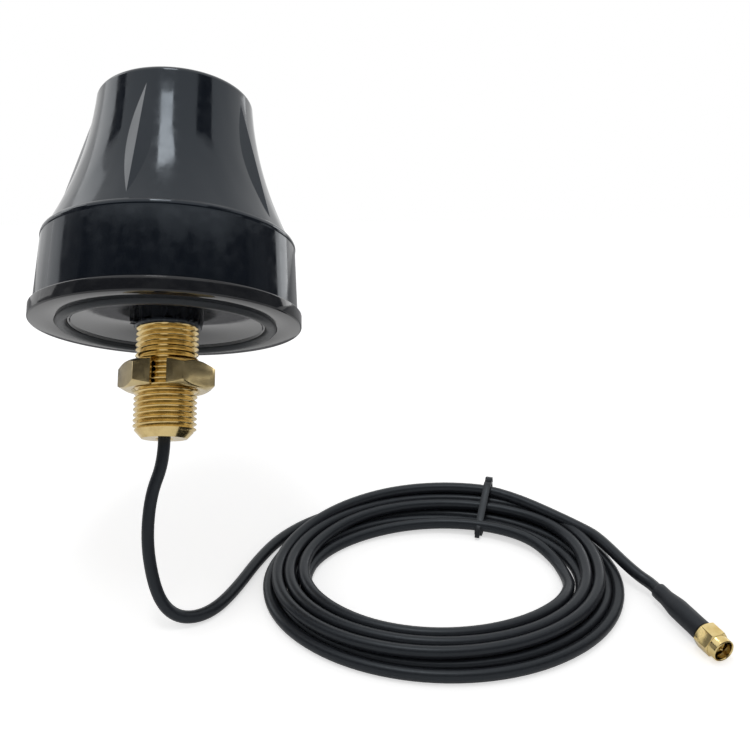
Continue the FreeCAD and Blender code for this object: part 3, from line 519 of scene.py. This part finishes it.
# %% Slotted nut
def hexagon(name, flats, low, high, turn):
    """Hexagonal prism with one flat towards the turn angle, sizes in millimetres."""
    deselect()
    bpy.ops.mesh.primitive_cylinder_add(
        vertices=6, radius=flats / 2000 / math.cos(math.radians(30)), depth=(high - low) / 1000,
        location=(0, 0, (high + low) / 2000), rotation=(0, 0, math.radians(turn + 30)))
    piece = bpy.context.object
    piece.name = name
    apply_place(piece)
    return piece


NUT_LOW, NUT_HIGH, NUT_TURN = -21.8, -12.8, 2.0
nut = hexagon("slotted_hexagon_nut", 28.0, NUT_LOW, NUT_HIGH, NUT_TURN)
combine(nut, turned("cones", [
    (0, NUT_LOW), (13.35, NUT_LOW), (16.9, -19.75), (16.9, -14.85), (13.35, NUT_HIGH),
    (0, NUT_HIGH)], steps=96), "INTERSECT")
combine(nut, turned("bore", [
    (0, -22.3), (11.9, -22.3), (10.53, -20.9), (10.53, -13.7), (11.9, -12.3), (0, -12.3)],
    steps=96), "DIFFERENCE")
deselect()
bpy.ops.mesh.primitive_cube_add(size=1, location=(0, -0.015, -0.0173), scale=(0.0052, 0.03, 0.03))
slot_cutter = bpy.context.object
apply_place(slot_cutter)
slot_cutter.rotation_euler.z = math.radians(NUT_TURN)
apply_place(slot_cutter)
combine(nut, slot_cutter, "DIFFERENCE")
soften(nut, 0.16, 24)
smooth(nut, 24)
fit_out(nut, "antenna", "slotted_nut")

# %% [markdown]
# A bead of black sealant was squeezed out between the stud and the disc. It is turned as a plump
# ring and then roughened by a cloud texture, since a hand-laid bead is never even. Four small
# tabs were pressed out beyond it, two on each side.

# %% Sealant bead
bead = turned("sealant", [
    (10.2, 0.82), (11.25, 0.82), (11.4, 0.4), (11.3, -0.1), (11.0, -0.45), (10.7, -0.62),
    (10.45, -0.68), (10.2, -0.62)], steps=96)
clouds = bpy.data.textures.new("uneven bead", "CLOUDS")
clouds.noise_scale = 0.0035
modify(bead, "DISPLACE", texture=clouds, texture_coords="LOCAL", strength=0.0005, mid_level=0.55)
tabs = []
for angle, length in ((-52, 2.3), (-66, 1.6), (49, 2.4), (61, 1.5)):
    deselect()
    bpy.ops.mesh.primitive_cube_add(
        size=1, location=(0, -0.0118, 0.0004), scale=(0.0010, length / 1000, 0.0006))
    tab = bpy.context.object
    apply_place(tab)
    tab.rotation_euler.z = math.radians(angle)
    apply_place(tab)
    soften(tab, 0.25)
    tabs.append(tab)
bead = joined("sealant_bead_uneven", [bead] + tabs)
smooth(bead, 50)
fit_out(bead, "antenna", "sealant_bead")

# %% [markdown]
# The tie is a flat strap pulled round the bundle of turns at its far side. Its section is drawn
# as a loop that hugs the turns in the plane across the bundle, extruded to the strap's width and
# given its thickness. A short folded end stands up at the top, and a pointed end lies past the
# inner side.

# %% Tie round the coil
STRAP_THICKNESS = 0.0009
tie_theta = math.radians(135 - TIE_ANGLE)
tie_middle = (COIL_X + 55.3 * math.cos(tie_theta), COIL_V + 42.3 * math.sin(tie_theta))
across = Vector((math.cos(tie_theta) / 55.1, math.sin(tie_theta) / 43.3)).normalized()


def in_bundle(sideways, height, lengthwise):
    """Frame point near the tie: across the bundle, above the ground, and along the turns."""
    x = tie_middle[0] + across.x * sideways - across.y * lengthwise
    along = tie_middle[1] + across.y * sideways + across.x * lengthwise
    return on_slope(x, along, height) * 1000


def ribbon(name, path, width, offset):
    """Strap along sideways and height pairs, thickened to one side or, at zero, to both."""
    piece = drawn(name, [in_bundle(s, h, -width / 2) for s, h in path])
    pull_edges((in_bundle(0, 0, width / 2) - in_bundle(0, 0, -width / 2)) / 1000)
    tidy_mesh()
    modify(piece, "SOLIDIFY", thickness=STRAP_THICKNESS, offset=offset)
    return piece


loop = [
    (10.0, 0.3), (10.9, 1.0), (11.1, 2.6), (10.7, 5.0), (10.2, 8.2), (9.4, 10.6), (8.2, 12.0),
    (6.6, 12.4), (5.0, 12.0), (2.6, 10.4), (-1.0, 8.5), (-5.0, 6.7), (-8.6, 4.9), (-10.3, 3.9),
    (-10.9, 2.6), (-10.8, 1.1), (-9.9, 0.3)]
folded_end = [(7.2, 12.6), (8.6, 13.9), (10.3, 13.2), (11.0, 11.0)]
pointed_end = [(-9.6, 4.9), (-11.6, 4.0), (-13.0, 2.4), (-13.9, 0.9)]
tie = joined("coil_tie_strap", [
    ribbon("tie", loop + loop[:1], 2.8, 1.0), ribbon("end", folded_end, 2.6, 0.0),
    ribbon("end", pointed_end, 1.8, 0.0)])
soften(tie, 0.2)
smooth(tie, 40)
fit_out(tie, "antenna", "coil_tie")

# %% [markdown]
# The plug's pieces lie along one inclined axis. Each is made upright at the origin, where lathe
# work is easy, then turned and moved onto the plug's axis by one matrix and its place is applied.

# %% Move a piece onto the plug's axis
def onto_plug(piece):
    """Lay an upright piece along the plug's axis, with its foot at the sleeve's rear end."""
    start = plug_point(0)
    z_axis = (plug_point(1) - start).normalized()
    y_axis = (on_slope(0, 0, 1) - on_slope(0, 0, 0)).normalized()
    axes = Matrix((y_axis.cross(z_axis), y_axis, z_axis)).transposed().to_4x4()
    piece.matrix_world = Matrix.Translation(start) @ axes
    apply_place(piece)


# %% Shrunk sleeve
sleeve = turned("shrunk_sleeve", [
    (2.15, 0.0), (2.62, 0.0), (2.72, 0.15), (2.74, 2.5), (2.70, 4.2), (2.86, 5.6), (3.1, 7.4),
    (3.34, 9.2), (3.42, 10.2), (3.44, 14.0), (3.42, 18.5), (3.46, 22.1), (3.38, 22.45),
    (2.87, 22.5), (2.87, 9.5), (2.15, 8.5)], steps=64)
onto_plug(sleeve)
smooth(sleeve, 50)
fit_out(sleeve, "antenna", "shrink_sleeve")

# %% Coupling nut of the plug
HEX_LOW, HEX_HIGH, NOSE_TOP = 23.3, 29.2, 32.3
coupling = hexagon("plug_coupling_nut", 7.94, HEX_LOW, HEX_HIGH, 0.0)
combine(coupling, turned("cones", [
    (0, HEX_LOW), (3.9, HEX_LOW), (4.9, 23.88), (4.9, 28.62), (3.9, HEX_HIGH), (0, HEX_HIGH)],
    steps=64), "INTERSECT")
combine(coupling, turned("nose", [
    (0, 28.0), (3.75, 28.0), (3.75, 32.0), (3.45, NOSE_TOP), (0, NOSE_TOP)], steps=64), "UNION")
combine(coupling, turned("bore", [
    (0, 22.0), (2.5, 22.0), (2.5, 24.6), (3.175, 24.6), (3.175, 31.9), (3.5, 32.4), (0, 32.4)],
    steps=64), "DIFFERENCE")
soften(coupling, 0.1, 24)
onto_plug(coupling)
smooth(coupling, 24)
fit_out(coupling, "coupling_nut", "coupling_nut")

# %% The lead and the pieces on it are built
print("lead and its pieces built")

# %% [markdown]
# # Finishes
# Effects that several finishes share are node groups with named sockets: a fine grain, long
# moulding ripples, turning marks round an axis, and dust. A group gives only masks and heights
# that change over the surface. The shader and its constant values stay in each material, where an
# export can read them.

# %% Helper for node groups
def node_group(name, inputs, outputs):
    """New shader group; inputs is name to default value, outputs is a list of names."""
    group = bpy.data.node_groups.new(name, "ShaderNodeTree")
    for label, value in inputs.items():
        socket = group.interface.new_socket(label, in_out="INPUT", socket_type="NodeSocketFloat")
        socket.default_value = value
    for label in outputs:
        group.interface.new_socket(label, in_out="OUTPUT", socket_type="NodeSocketFloat")
    return group, group.nodes.new("NodeGroupInput"), group.nodes.new("NodeGroupOutput")


def feed(tree, socket, value):
    """Set a socket to a number, or link another socket to it."""
    if isinstance(value, (int, float)):
        socket.default_value = value
    else:
        tree.links.new(value, socket)


def noise(tree, scale, detail, roughness=0.5, vector=None):
    """Noise on Object coordinates, or on the given vector."""
    made = tree.nodes.new("ShaderNodeTexNoise")
    if vector is None:
        vector = tree.nodes.new("ShaderNodeTexCoord").outputs["Object"]
    values = {"Vector": vector, "Scale": scale, "Detail": detail, "Roughness": roughness}
    for label, value in values.items():
        feed(tree, made.inputs[label], value)
    return made.outputs["Fac"]


def calc(tree, operation, *values):
    """Math node; each value is a socket or a number."""
    made = tree.nodes.new("ShaderNodeMath")
    made.operation = operation
    for socket, value in zip(made.inputs, values):
        feed(tree, socket, value)
    return made.outputs["Value"]


def ramp(tree, factor, low, high, out_low=0.0, out_high=1.0):
    """Clamped straight ramp between two levels."""
    made = tree.nodes.new("ShaderNodeMapRange")
    values = {"Value": factor, "From Min": low, "From Max": high, "To Min": out_low,
              "To Max": out_high}
    for label, value in values.items():
        feed(tree, made.inputs[label], value)
    return made.outputs["Result"]


def split(tree, vector):
    """X, Y and Z of a vector."""
    made = tree.nodes.new("ShaderNodeSeparateXYZ")
    tree.links.new(vector, made.inputs["Vector"])
    return made.outputs["X"], made.outputs["Y"], made.outputs["Z"]


def vector_of(tree, x, y, z):
    """Vector from three sockets or numbers."""
    made = tree.nodes.new("ShaderNodeCombineXYZ")
    for label, value in (("X", x), ("Y", y), ("Z", z)):
        feed(tree, made.inputs[label], value)
    return made.outputs["Vector"]


# %% Group: fine grain
tree, enter, leave = node_group("fine grain", {"Scale": 4000.0}, ["Mask"])
grain_group = tree
tree.links.new(noise(tree, enter.outputs["Scale"], 3.0), leave.inputs["Mask"])
print("group", tree.name)

# %% Group: long moulding ripples
tree, enter, leave = node_group("moulding ripples", {"Scale": 60.0, "Stretch": 0.3}, ["Height"])
ripple_group = tree
x, y, z = split(tree, tree.nodes.new("ShaderNodeTexCoord").outputs["Object"])
stretched = vector_of(tree, x, y, calc(tree, "MULTIPLY", z, enter.outputs["Stretch"]))
waves = noise(tree, enter.outputs["Scale"], 1.5, vector=stretched)
tree.links.new(waves, leave.inputs["Height"])
print("group", tree.name)

# %% Group: turning marks round the Z axis
tree, enter, leave = node_group("turning marks", {"Scale": 5000.0}, ["Mask"])
lathe_group = tree
x, y, z = split(tree, tree.nodes.new("ShaderNodeTexCoord").outputs["Object"])
square = calc(tree, "ADD", calc(tree, "MULTIPLY", x, x), calc(tree, "MULTIPLY", y, y))
ringed = vector_of(tree, calc(tree, "SQRT", square), 0.0, z)
tree.links.new(noise(tree, enter.outputs["Scale"], 2.0, vector=ringed), leave.inputs["Mask"])
print("group", tree.name)

# %% Group: dust that settles on upward faces
tree, enter, leave = node_group("settled dust", {"Scale": 900.0, "Amount": 0.15}, ["Mask"])
dust_group = tree
normal = tree.nodes.new("ShaderNodeNewGeometry").outputs["Normal"]
upness = ramp(tree, split(tree, normal)[2], -0.2, 1.0)
patchy = ramp(tree, noise(tree, enter.outputs["Scale"], 6.0), 0.5, 0.75)
settled = calc(tree, "MULTIPLY", calc(tree, "MULTIPLY", upness, patchy), enter.outputs["Amount"])
tree.links.new(settled, leave.inputs["Mask"])
print("group", tree.name)


# %% Helper for a finish
def finish(name, colour, roughness, metallic=0.0):
    """Material with one Principled shader; returns it with its tree and shader."""
    made = bpy.data.materials.new(name)
    made.use_nodes = True
    tree = made.node_tree
    shader = tree.nodes["Principled BSDF"]
    shader.inputs["Base Color"].default_value = (*colour, 1)
    shader.inputs["Roughness"].default_value = roughness
    shader.inputs["Metallic"].default_value = metallic
    return made, tree, shader


def use_group(tree, group, **values):
    """Node that runs a group with the given values."""
    made = tree.nodes.new("ShaderNodeGroup")
    made.node_tree = group
    for label, value in values.items():
        made.inputs[label].default_value = value
    return made


def two_tones(tree, shader, factor, first, second):
    """Base colour that goes from the first to the second with the factor."""
    mix = tree.nodes.new("ShaderNodeMix")
    mix.data_type = "RGBA"
    mix.inputs["A"].default_value = (*first, 1)
    mix.inputs["B"].default_value = (*second, 1)
    tree.links.new(factor, mix.inputs["Factor"])
    tree.links.new(mix.outputs["Result"], shader.inputs["Base Color"])


def relief(tree, shader, height, distance):
    """Bump from a height, with its depth in metres."""
    bump_node = tree.nodes.new("ShaderNodeBump")
    bump_node.inputs["Distance"].default_value = distance
    bump_node.inputs["Strength"].default_value = 1.0
    tree.links.new(height, bump_node.inputs["Height"])
    tree.links.new(bump_node.outputs["Normal"], shader.inputs["Normal"])


def dress(piece, made):
    """Give a piece one finish in place of any it has."""
    piece.data.materials.clear()
    piece.data.materials.append(made)
    print(piece.name, made.name)


# %% [markdown]
# The cover is polished black plastic. Its depth comes from sharp reflections that waver a little,
# because a moulded wall is never quite true. A trace of blue, very fine dust and a slight change
# of gloss keep it from looking like paint.

# %% Finish: polished black cover
BLUE_BLACK = (0.004, 0.006, 0.010)
cover_black, tree, shader = finish("polished black moulding", BLUE_BLACK, 0.11)
shader.inputs["Specular Tint"].default_value = (0.80, 0.90, 1.0, 1)
ripples = use_group(tree, ripple_group, Scale=55.0, Stretch=0.25)
relief(tree, shader, ripples.outputs["Height"], 0.0009)
dust = use_group(tree, dust_group, Scale=2200.0, Amount=0.10)
two_tones(tree, shader, dust.outputs["Mask"], BLUE_BLACK, (0.10, 0.10, 0.11))
gloss = use_group(tree, grain_group, Scale=260.0).outputs["Mask"]
tree.links.new(ramp(tree, gloss, 0.35, 0.7, 0.07, 0.17), shader.inputs["Roughness"])
dress(cover, cover_black)

# %% Finish: base moulding
base_black, tree, shader = finish("smooth black base", (0.010, 0.011, 0.013), 0.08)
grain = use_group(tree, grain_group, Scale=900.0).outputs["Mask"]
tree.links.new(ramp(tree, grain, 0.3, 0.7, 0.04, 0.11), shader.inputs["Roughness"])
two_tones(tree, shader, grain, (0.007, 0.008, 0.010), (0.013, 0.014, 0.017))
relief(tree, shader, use_group(tree, lathe_group, Scale=700.0).outputs["Mask"], 0.000003)
dress(base, base_black)


# %% Finish: rubbers, sealant, strap and sleeve
def soft_black(name, dark, light, rough_low, rough_high, scale, depth):
    """Soft black finish whose grain varies its tone, gloss and relief."""
    made, tree, shader = finish(name, dark, rough_low)
    grain = use_group(tree, grain_group, Scale=scale).outputs["Mask"]
    two_tones(tree, shader, grain, dark, light)
    tree.links.new(ramp(tree, grain, 0.3, 0.7, rough_low, rough_high), shader.inputs["Roughness"])
    relief(tree, shader, grain, depth)
    shader.inputs["IOR"].default_value = 1.42
    shader.inputs["Specular Tint"].default_value = (0.84, 0.93, 1.0, 1)
    return made


rubber = soft_black(
    "moulded rubber", (0.010, 0.010, 0.011), (0.022, 0.022, 0.024), 0.28, 0.42, 1500.0, 0.00003)
sealant = soft_black(
    "cured sealant", (0.010, 0.012, 0.016), (0.030, 0.033, 0.040), 0.16, 0.34, 700.0, 0.00012)
strap_black = soft_black(
    "black strap", (0.012, 0.012, 0.014), (0.024, 0.025, 0.028), 0.3, 0.45, 2500.0, 0.00003)
sleeve_black = soft_black(
    "shrunk sleeve black", (0.009, 0.010, 0.013), (0.020, 0.021, 0.026), 0.42, 0.6, 1800.0,
    0.00006)
for piece, made in ((seal, rubber), (bead, sealant), (tie, strap_black), (sleeve, sleeve_black)):
    dress(piece, made)

# %% [markdown]
# The lead's jacket is extruded plastic with a satin gloss. Light runs along it in thin lines, so
# its relief stays very small.

# %% Finish: jacket of the lead
jacket = soft_black(
    "satin cable jacket", (0.009, 0.010, 0.013), (0.016, 0.018, 0.022), 0.30, 0.42, 1300.0,
    0.00002)
curve.materials.append(jacket)
print(jacket.name)


# %% [markdown]
# Brass and gold are metals, so their colour is the colour of their reflections. Turning marks
# round the axis vary the gloss of the stud; the flats of the nut are milled and a little duller.

# %% Finish: metals
def metal(name, bright, dull, rough_low, rough_high, marks_scale, depth):
    """Metal with fine tool marks and faint tarnish."""
    made, tree, shader = finish(name, bright, rough_low, metallic=1.0)
    marks = use_group(tree, lathe_group, Scale=marks_scale).outputs["Mask"]
    tarnish = ramp(tree, noise(tree, 260.0, 4.0, 0.6), 0.42, 0.72)
    two_tones(tree, shader, tarnish, bright, dull)
    tree.links.new(ramp(tree, marks, 0.3, 0.7, rough_low, rough_high), shader.inputs["Roughness"])
    relief(tree, shader, marks, depth)
    return made


brass_turned = metal(
    "turned brass", (0.78, 0.60, 0.28), (0.58, 0.41, 0.16), 0.10, 0.20, 2600.0, 0.00001)
brass_milled = metal(
    "milled brass", (0.64, 0.51, 0.26), (0.52, 0.40, 0.19), 0.12, 0.22, 3600.0, 0.000006)
gold_plate = metal(
    "gold plate", (0.76, 0.60, 0.28), (0.64, 0.47, 0.18), 0.12, 0.22, 3000.0, 0.000004)
tin_plate = metal(
    "tinned braid", (0.72, 0.72, 0.72), (0.55, 0.55, 0.56), 0.3, 0.45, 5000.0, 0.00003)
steel_plain = metal(
    "plain steel", (0.60, 0.60, 0.61), (0.45, 0.44, 0.43), 0.25, 0.4, 3000.0, 0.00001)
aluminium_satin = metal(
    "satin aluminium", (0.78, 0.78, 0.80), (0.66, 0.66, 0.68), 0.3, 0.42, 1800.0, 0.00001)
copper_foil = metal(
    "copper foil", (0.86, 0.50, 0.36), (0.60, 0.34, 0.24), 0.25, 0.4, 2000.0, 0.00001)
solder_bright = metal(
    "bright solder", (0.68, 0.68, 0.70), (0.52, 0.52, 0.54), 0.2, 0.35, 1500.0, 0.00003)
for piece, made in ((stud, brass_turned), (nut, brass_milled), (coupling, gold_plate)):
    dress(piece, made)

# %% Finish: light plastics, board and gasket
def plain_plastic(name, first, second, roughness, scale, depth):
    """Plastic or rubber with a fine grain in its tone and relief."""
    made, tree, shader = finish(name, first, roughness)
    grain = use_group(tree, grain_group, Scale=scale).outputs["Mask"]
    two_tones(tree, shader, grain, first, second)
    relief(tree, shader, grain, depth)
    return made


board_green = plain_plastic(
    "green board", (0.02, 0.16, 0.07), (0.04, 0.24, 0.11), 0.35, 1200.0, 0.00001)
nylon_white = plain_plastic(
    "white nylon", (0.78, 0.78, 0.74), (0.86, 0.86, 0.83), 0.45, 900.0, 0.00002)
dielectric_white = plain_plastic(
    "white insulator", (0.84, 0.84, 0.82), (0.90, 0.90, 0.89), 0.4, 2000.0, 0.00001)
gasket_red = plain_plastic(
    "red gasket rubber", (0.40, 0.08, 0.05), (0.52, 0.13, 0.09), 0.5, 2500.0, 0.00002)
print("plain plastics made")

# %% Give every node its finish
node_finish = {
    "ground_plate": aluminium_satin, "plate_screws": steel_plain, "lock_washer": steel_plain,
    "lock_nut": brass_milled, "antenna_board": board_green, "radiator": copper_foil,
    "board_clip_left": nylon_white, "board_clip_right": nylon_white, "clip_screws": steel_plain,
    "board_screws": steel_plain, "feed_cable": jacket, "feed_braid": tin_plate,
    "feed_dielectric": dielectric_white, "feed_wire": copper_foil, "solder_joint": solder_bright,
    "crimp_ferrule": gold_plate, "plug_body": gold_plate, "snap_ring": gold_plate,
    "plug_gasket": gasket_red, "plug_insulator": dielectric_white, "plug_pin": gold_plate,
    "radome": cover_black, "base": base_black, "sealing_ring": rubber,
    "threaded_stud": brass_turned, "slotted_nut": brass_milled, "sealant_bead": sealant,
    "lead_tube": jacket, "lead_coil": jacket, "tail_tube": jacket, "coil_tie": strap_black,
    "shrink_sleeve": sleeve_black, "coupling_nut": gold_plate,
}
for name, made in node_finish.items():
    for place in nodes[name].material_slots:
        place.material = made
print("finished nodes", len(node_finish), "of", len(nodes))

# %% [markdown]
# # Studio
# The stage is one pale sweep: a level floor in front, a round fillet, and the slope that the lead
# lies on. Seen by the camera or in a reflection it glows a little, so its lit parts are white and
# only the shadow stays. From behind or below it is clear, so the object can be looked at from all
# sides.

# %% The sweep
FLOOR_Z = -132.0
FILLET = 60.0
STAGE_LEFT, STAGE_WIDTH = -700, 1540
foot_along = (FLOOR_Z - SLOPE_Z) / math.sin(SLOPE)
tangent = FILLET * math.tan(SLOPE / 2)
foot = on_slope(0, foot_along, 0) * 1000
line = [(0, -900.0, FLOOR_Z), (0, foot.y - tangent, FLOOR_Z)]
for k in range(1, 12):
    a = SLOPE * k / 12
    line.append((0, foot.y - tangent + FILLET * math.sin(a), FLOOR_Z + FILLET * (1 - math.cos(a))))
line.append(on_slope(0, foot_along + tangent, 0) * 1000)
line.append(on_slope(0, 520.0, 0) * 1000)
sweep_stage = drawn("studio_sweep", [Vector(p) + Vector((STAGE_LEFT, 0, 0)) for p in line])
pull_edges((STAGE_WIDTH / 1000, 0, 0))
bpy.ops.object.mode_set(mode="OBJECT")
if sweep_stage.data.polygons[0].normal.z < 0:
    bpy.ops.object.mode_set(mode="EDIT")
    bpy.ops.mesh.select_all(action="SELECT")
    bpy.ops.mesh.flip_normals()
    bpy.ops.object.mode_set(mode="OBJECT")
smooth(sweep_stage, 30)
print("sweep foot at y", round(foot.y, 1))


# %% Finish: the sweep
def seen_directly(tree):
    """Mask of camera, glossy and transmission rays."""
    path = tree.nodes.new("ShaderNodeLightPath")
    both = calc(tree, "MAXIMUM", path.outputs["Is Camera Ray"], path.outputs["Is Glossy Ray"])
    return calc(tree, "MAXIMUM", both, path.outputs["Is Transmission Ray"])


sweep_white = bpy.data.materials.new("pale sweep")
sweep_white.use_nodes = True
tree = sweep_white.node_tree
tree.nodes.clear()
output = tree.nodes.new("ShaderNodeOutputMaterial")
diffuse = tree.nodes.new("ShaderNodeBsdfDiffuse")
diffuse.inputs["Color"].default_value = (0.80, 0.80, 0.80, 1)
glow = tree.nodes.new("ShaderNodeEmission")
glow.inputs["Color"].default_value = (1, 1, 1, 1)
camera_ray = tree.nodes.new("ShaderNodeLightPath").outputs["Is Camera Ray"]
reflected_glow = calc(tree, "MULTIPLY", seen_directly(tree), 0.22)
camera_glow = calc(tree, "MULTIPLY", camera_ray, 0.33)
tree.links.new(calc(tree, "ADD", reflected_glow, camera_glow), glow.inputs["Strength"])
front = tree.nodes.new("ShaderNodeAddShader")
tree.links.new(diffuse.outputs["BSDF"], front.inputs[0])
tree.links.new(glow.outputs["Emission"], front.inputs[1])
clear_back = tree.nodes.new("ShaderNodeBsdfTransparent")
side = tree.nodes.new("ShaderNodeMixShader")
tree.links.new(tree.nodes.new("ShaderNodeNewGeometry").outputs["Backfacing"], side.inputs["Fac"])
tree.links.new(front.outputs["Shader"], side.inputs[1])
tree.links.new(clear_back.outputs["BSDF"], side.inputs[2])
tree.links.new(side.outputs["Shader"], output.inputs["Surface"])
sweep_stage.data.materials.append(sweep_white)
print(sweep_white.name)

# %% World
world = bpy.data.worlds.new("studio")
scene.world = world
world.use_nodes = True
tree = world.node_tree
tree.nodes.clear()
output = tree.nodes.new("ShaderNodeOutputWorld")
sky = tree.nodes.new("ShaderNodeBackground")
sky.inputs["Color"].default_value = (1, 1, 1, 1)
tree.links.new(ramp(tree, seen_directly(tree), 0.0, 1.0, 0.55, 1.0), sky.inputs["Strength"])
tree.links.new(sky.outputs["Background"], output.inputs["Surface"])
print("world", world.name)

# %% [markdown]
# Glossy black shows what stands round it, so the studio needs soft boxes for the highlights and
# dark surfaces between them. Parts of a round dark wall stand about the stud, two high panels
# darken single bands of the bell, and a grey card lies on the slope behind the coil. The camera
# can't see them. They only appear as the dark bands in the cover and in the brass.


# %% Soft boxes
def soft_box(name, place, aim, width, height, power):
    """Area lamp that looks at a point, in metres and watts."""
    lamp = bpy.data.lights.new(name, "AREA")
    lamp.shape = "RECTANGLE"
    lamp.size = width
    lamp.size_y = height
    lamp.energy = power
    made = bpy.data.objects.new(name, lamp)
    scene.collection.objects.link(made)
    made.location = place
    made.rotation_mode = "QUATERNION"
    made.rotation_quaternion = (Vector(aim) - Vector(place)).to_track_quat("-Z", "Y")
    made.visible_camera = False


soft_box("left soft box", (-0.86, 0.16, 0.56), (0, 0, 0.03), 0.4, 0.8, 0.9)
soft_box("top strip", (-0.03, -0.70, 1.0), (0, 0, 0.03), 0.27, 0.40, 2.2)
soft_box("right fill", (0.85, 0.75, 0.40), (0.08, 0, -0.03), 0.4, 0.7, 1.4)


# %% Dark walls that only reflections see
WALL_RADIUS = 1.3
WALL_FOOT, WALL_TOP = -0.30, 0.62


def wall_finish(name, colour, scale, dark, light):
    """Dull finish with large soft patches."""
    made, tree, shader = finish(name, colour, 0.9)
    two_tones(tree, shader, ramp(tree, noise(tree, scale, 2.0), 0.42, 0.62), dark, light)
    return made


def only_reflected(piece, made):
    """Stage piece that the camera, diffuse light and shadows leave out."""
    piece.visible_camera = False
    piece.visible_diffuse = False
    piece.visible_shadow = False
    piece.data.materials.append(made)


def room_wall(name, first, last, low, high, made):
    """Part of a round wall about the stud's axis, in degrees and metres."""
    distance = -1000 * WALL_RADIUS
    wall = drawn(name, [(0, distance, 1000 * low), (0, distance, 1000 * high)])
    bpy.ops.mesh.select_all(action="SELECT")
    bpy.ops.mesh.spin(
        steps=24, angle=-math.radians(last - first), center=(0, 0, 0), axis=(0, 0, 1))
    bpy.ops.object.mode_set(mode="OBJECT")
    wall.rotation_euler.z = math.radians(first)
    apply_place(wall)
    only_reflected(wall, made)


wall_dark = wall_finish(
    "dark room wall", (0.18, 0.18, 0.19), 2.6, (0.10, 0.10, 0.11), (0.26, 0.26, 0.27))
wall_grey = wall_finish(
    "grey room wall", (0.40, 0.40, 0.41), 3.1, (0.25, 0.25, 0.26), (0.55, 0.55, 0.56))
room_wall("dark room", -66, 120, WALL_FOOT, WALL_TOP, wall_dark)
room_wall("dark panel left", -88, -66, 0.66, 1.35, wall_dark)
room_wall("dark panel right", 46, 70, 0.90, 1.75, wall_dark)
room_wall("grey room left", -112, -66, WALL_FOOT, WALL_TOP, wall_grey)
room_wall("grey room right", 120, 128, WALL_FOOT, WALL_TOP, wall_grey)
print("room walls placed")

# %% Grey card behind the coil
reach = [on_slope(0, along, 3.0) * 1000 for along in (134.0, 460.0)]
back_card = drawn("grey card", [p - Vector((500, 0, 0)) for p in reach])
pull_edges((1.0, 0, 0))
bpy.ops.object.mode_set(mode="OBJECT")
only_reflected(back_card, wall_grey)
print("grey card placed")

# %% [markdown]
# The lead is a curve, so its mesh is counted on its evaluated copy.

# %% Size of the lead's mesh
solid_lead = lead.evaluated_get(bpy.context.evaluated_depsgraph_get())
print(lead.name, len(solid_lead.to_mesh().vertices), "vertices")
solid_lead.to_mesh_clear()
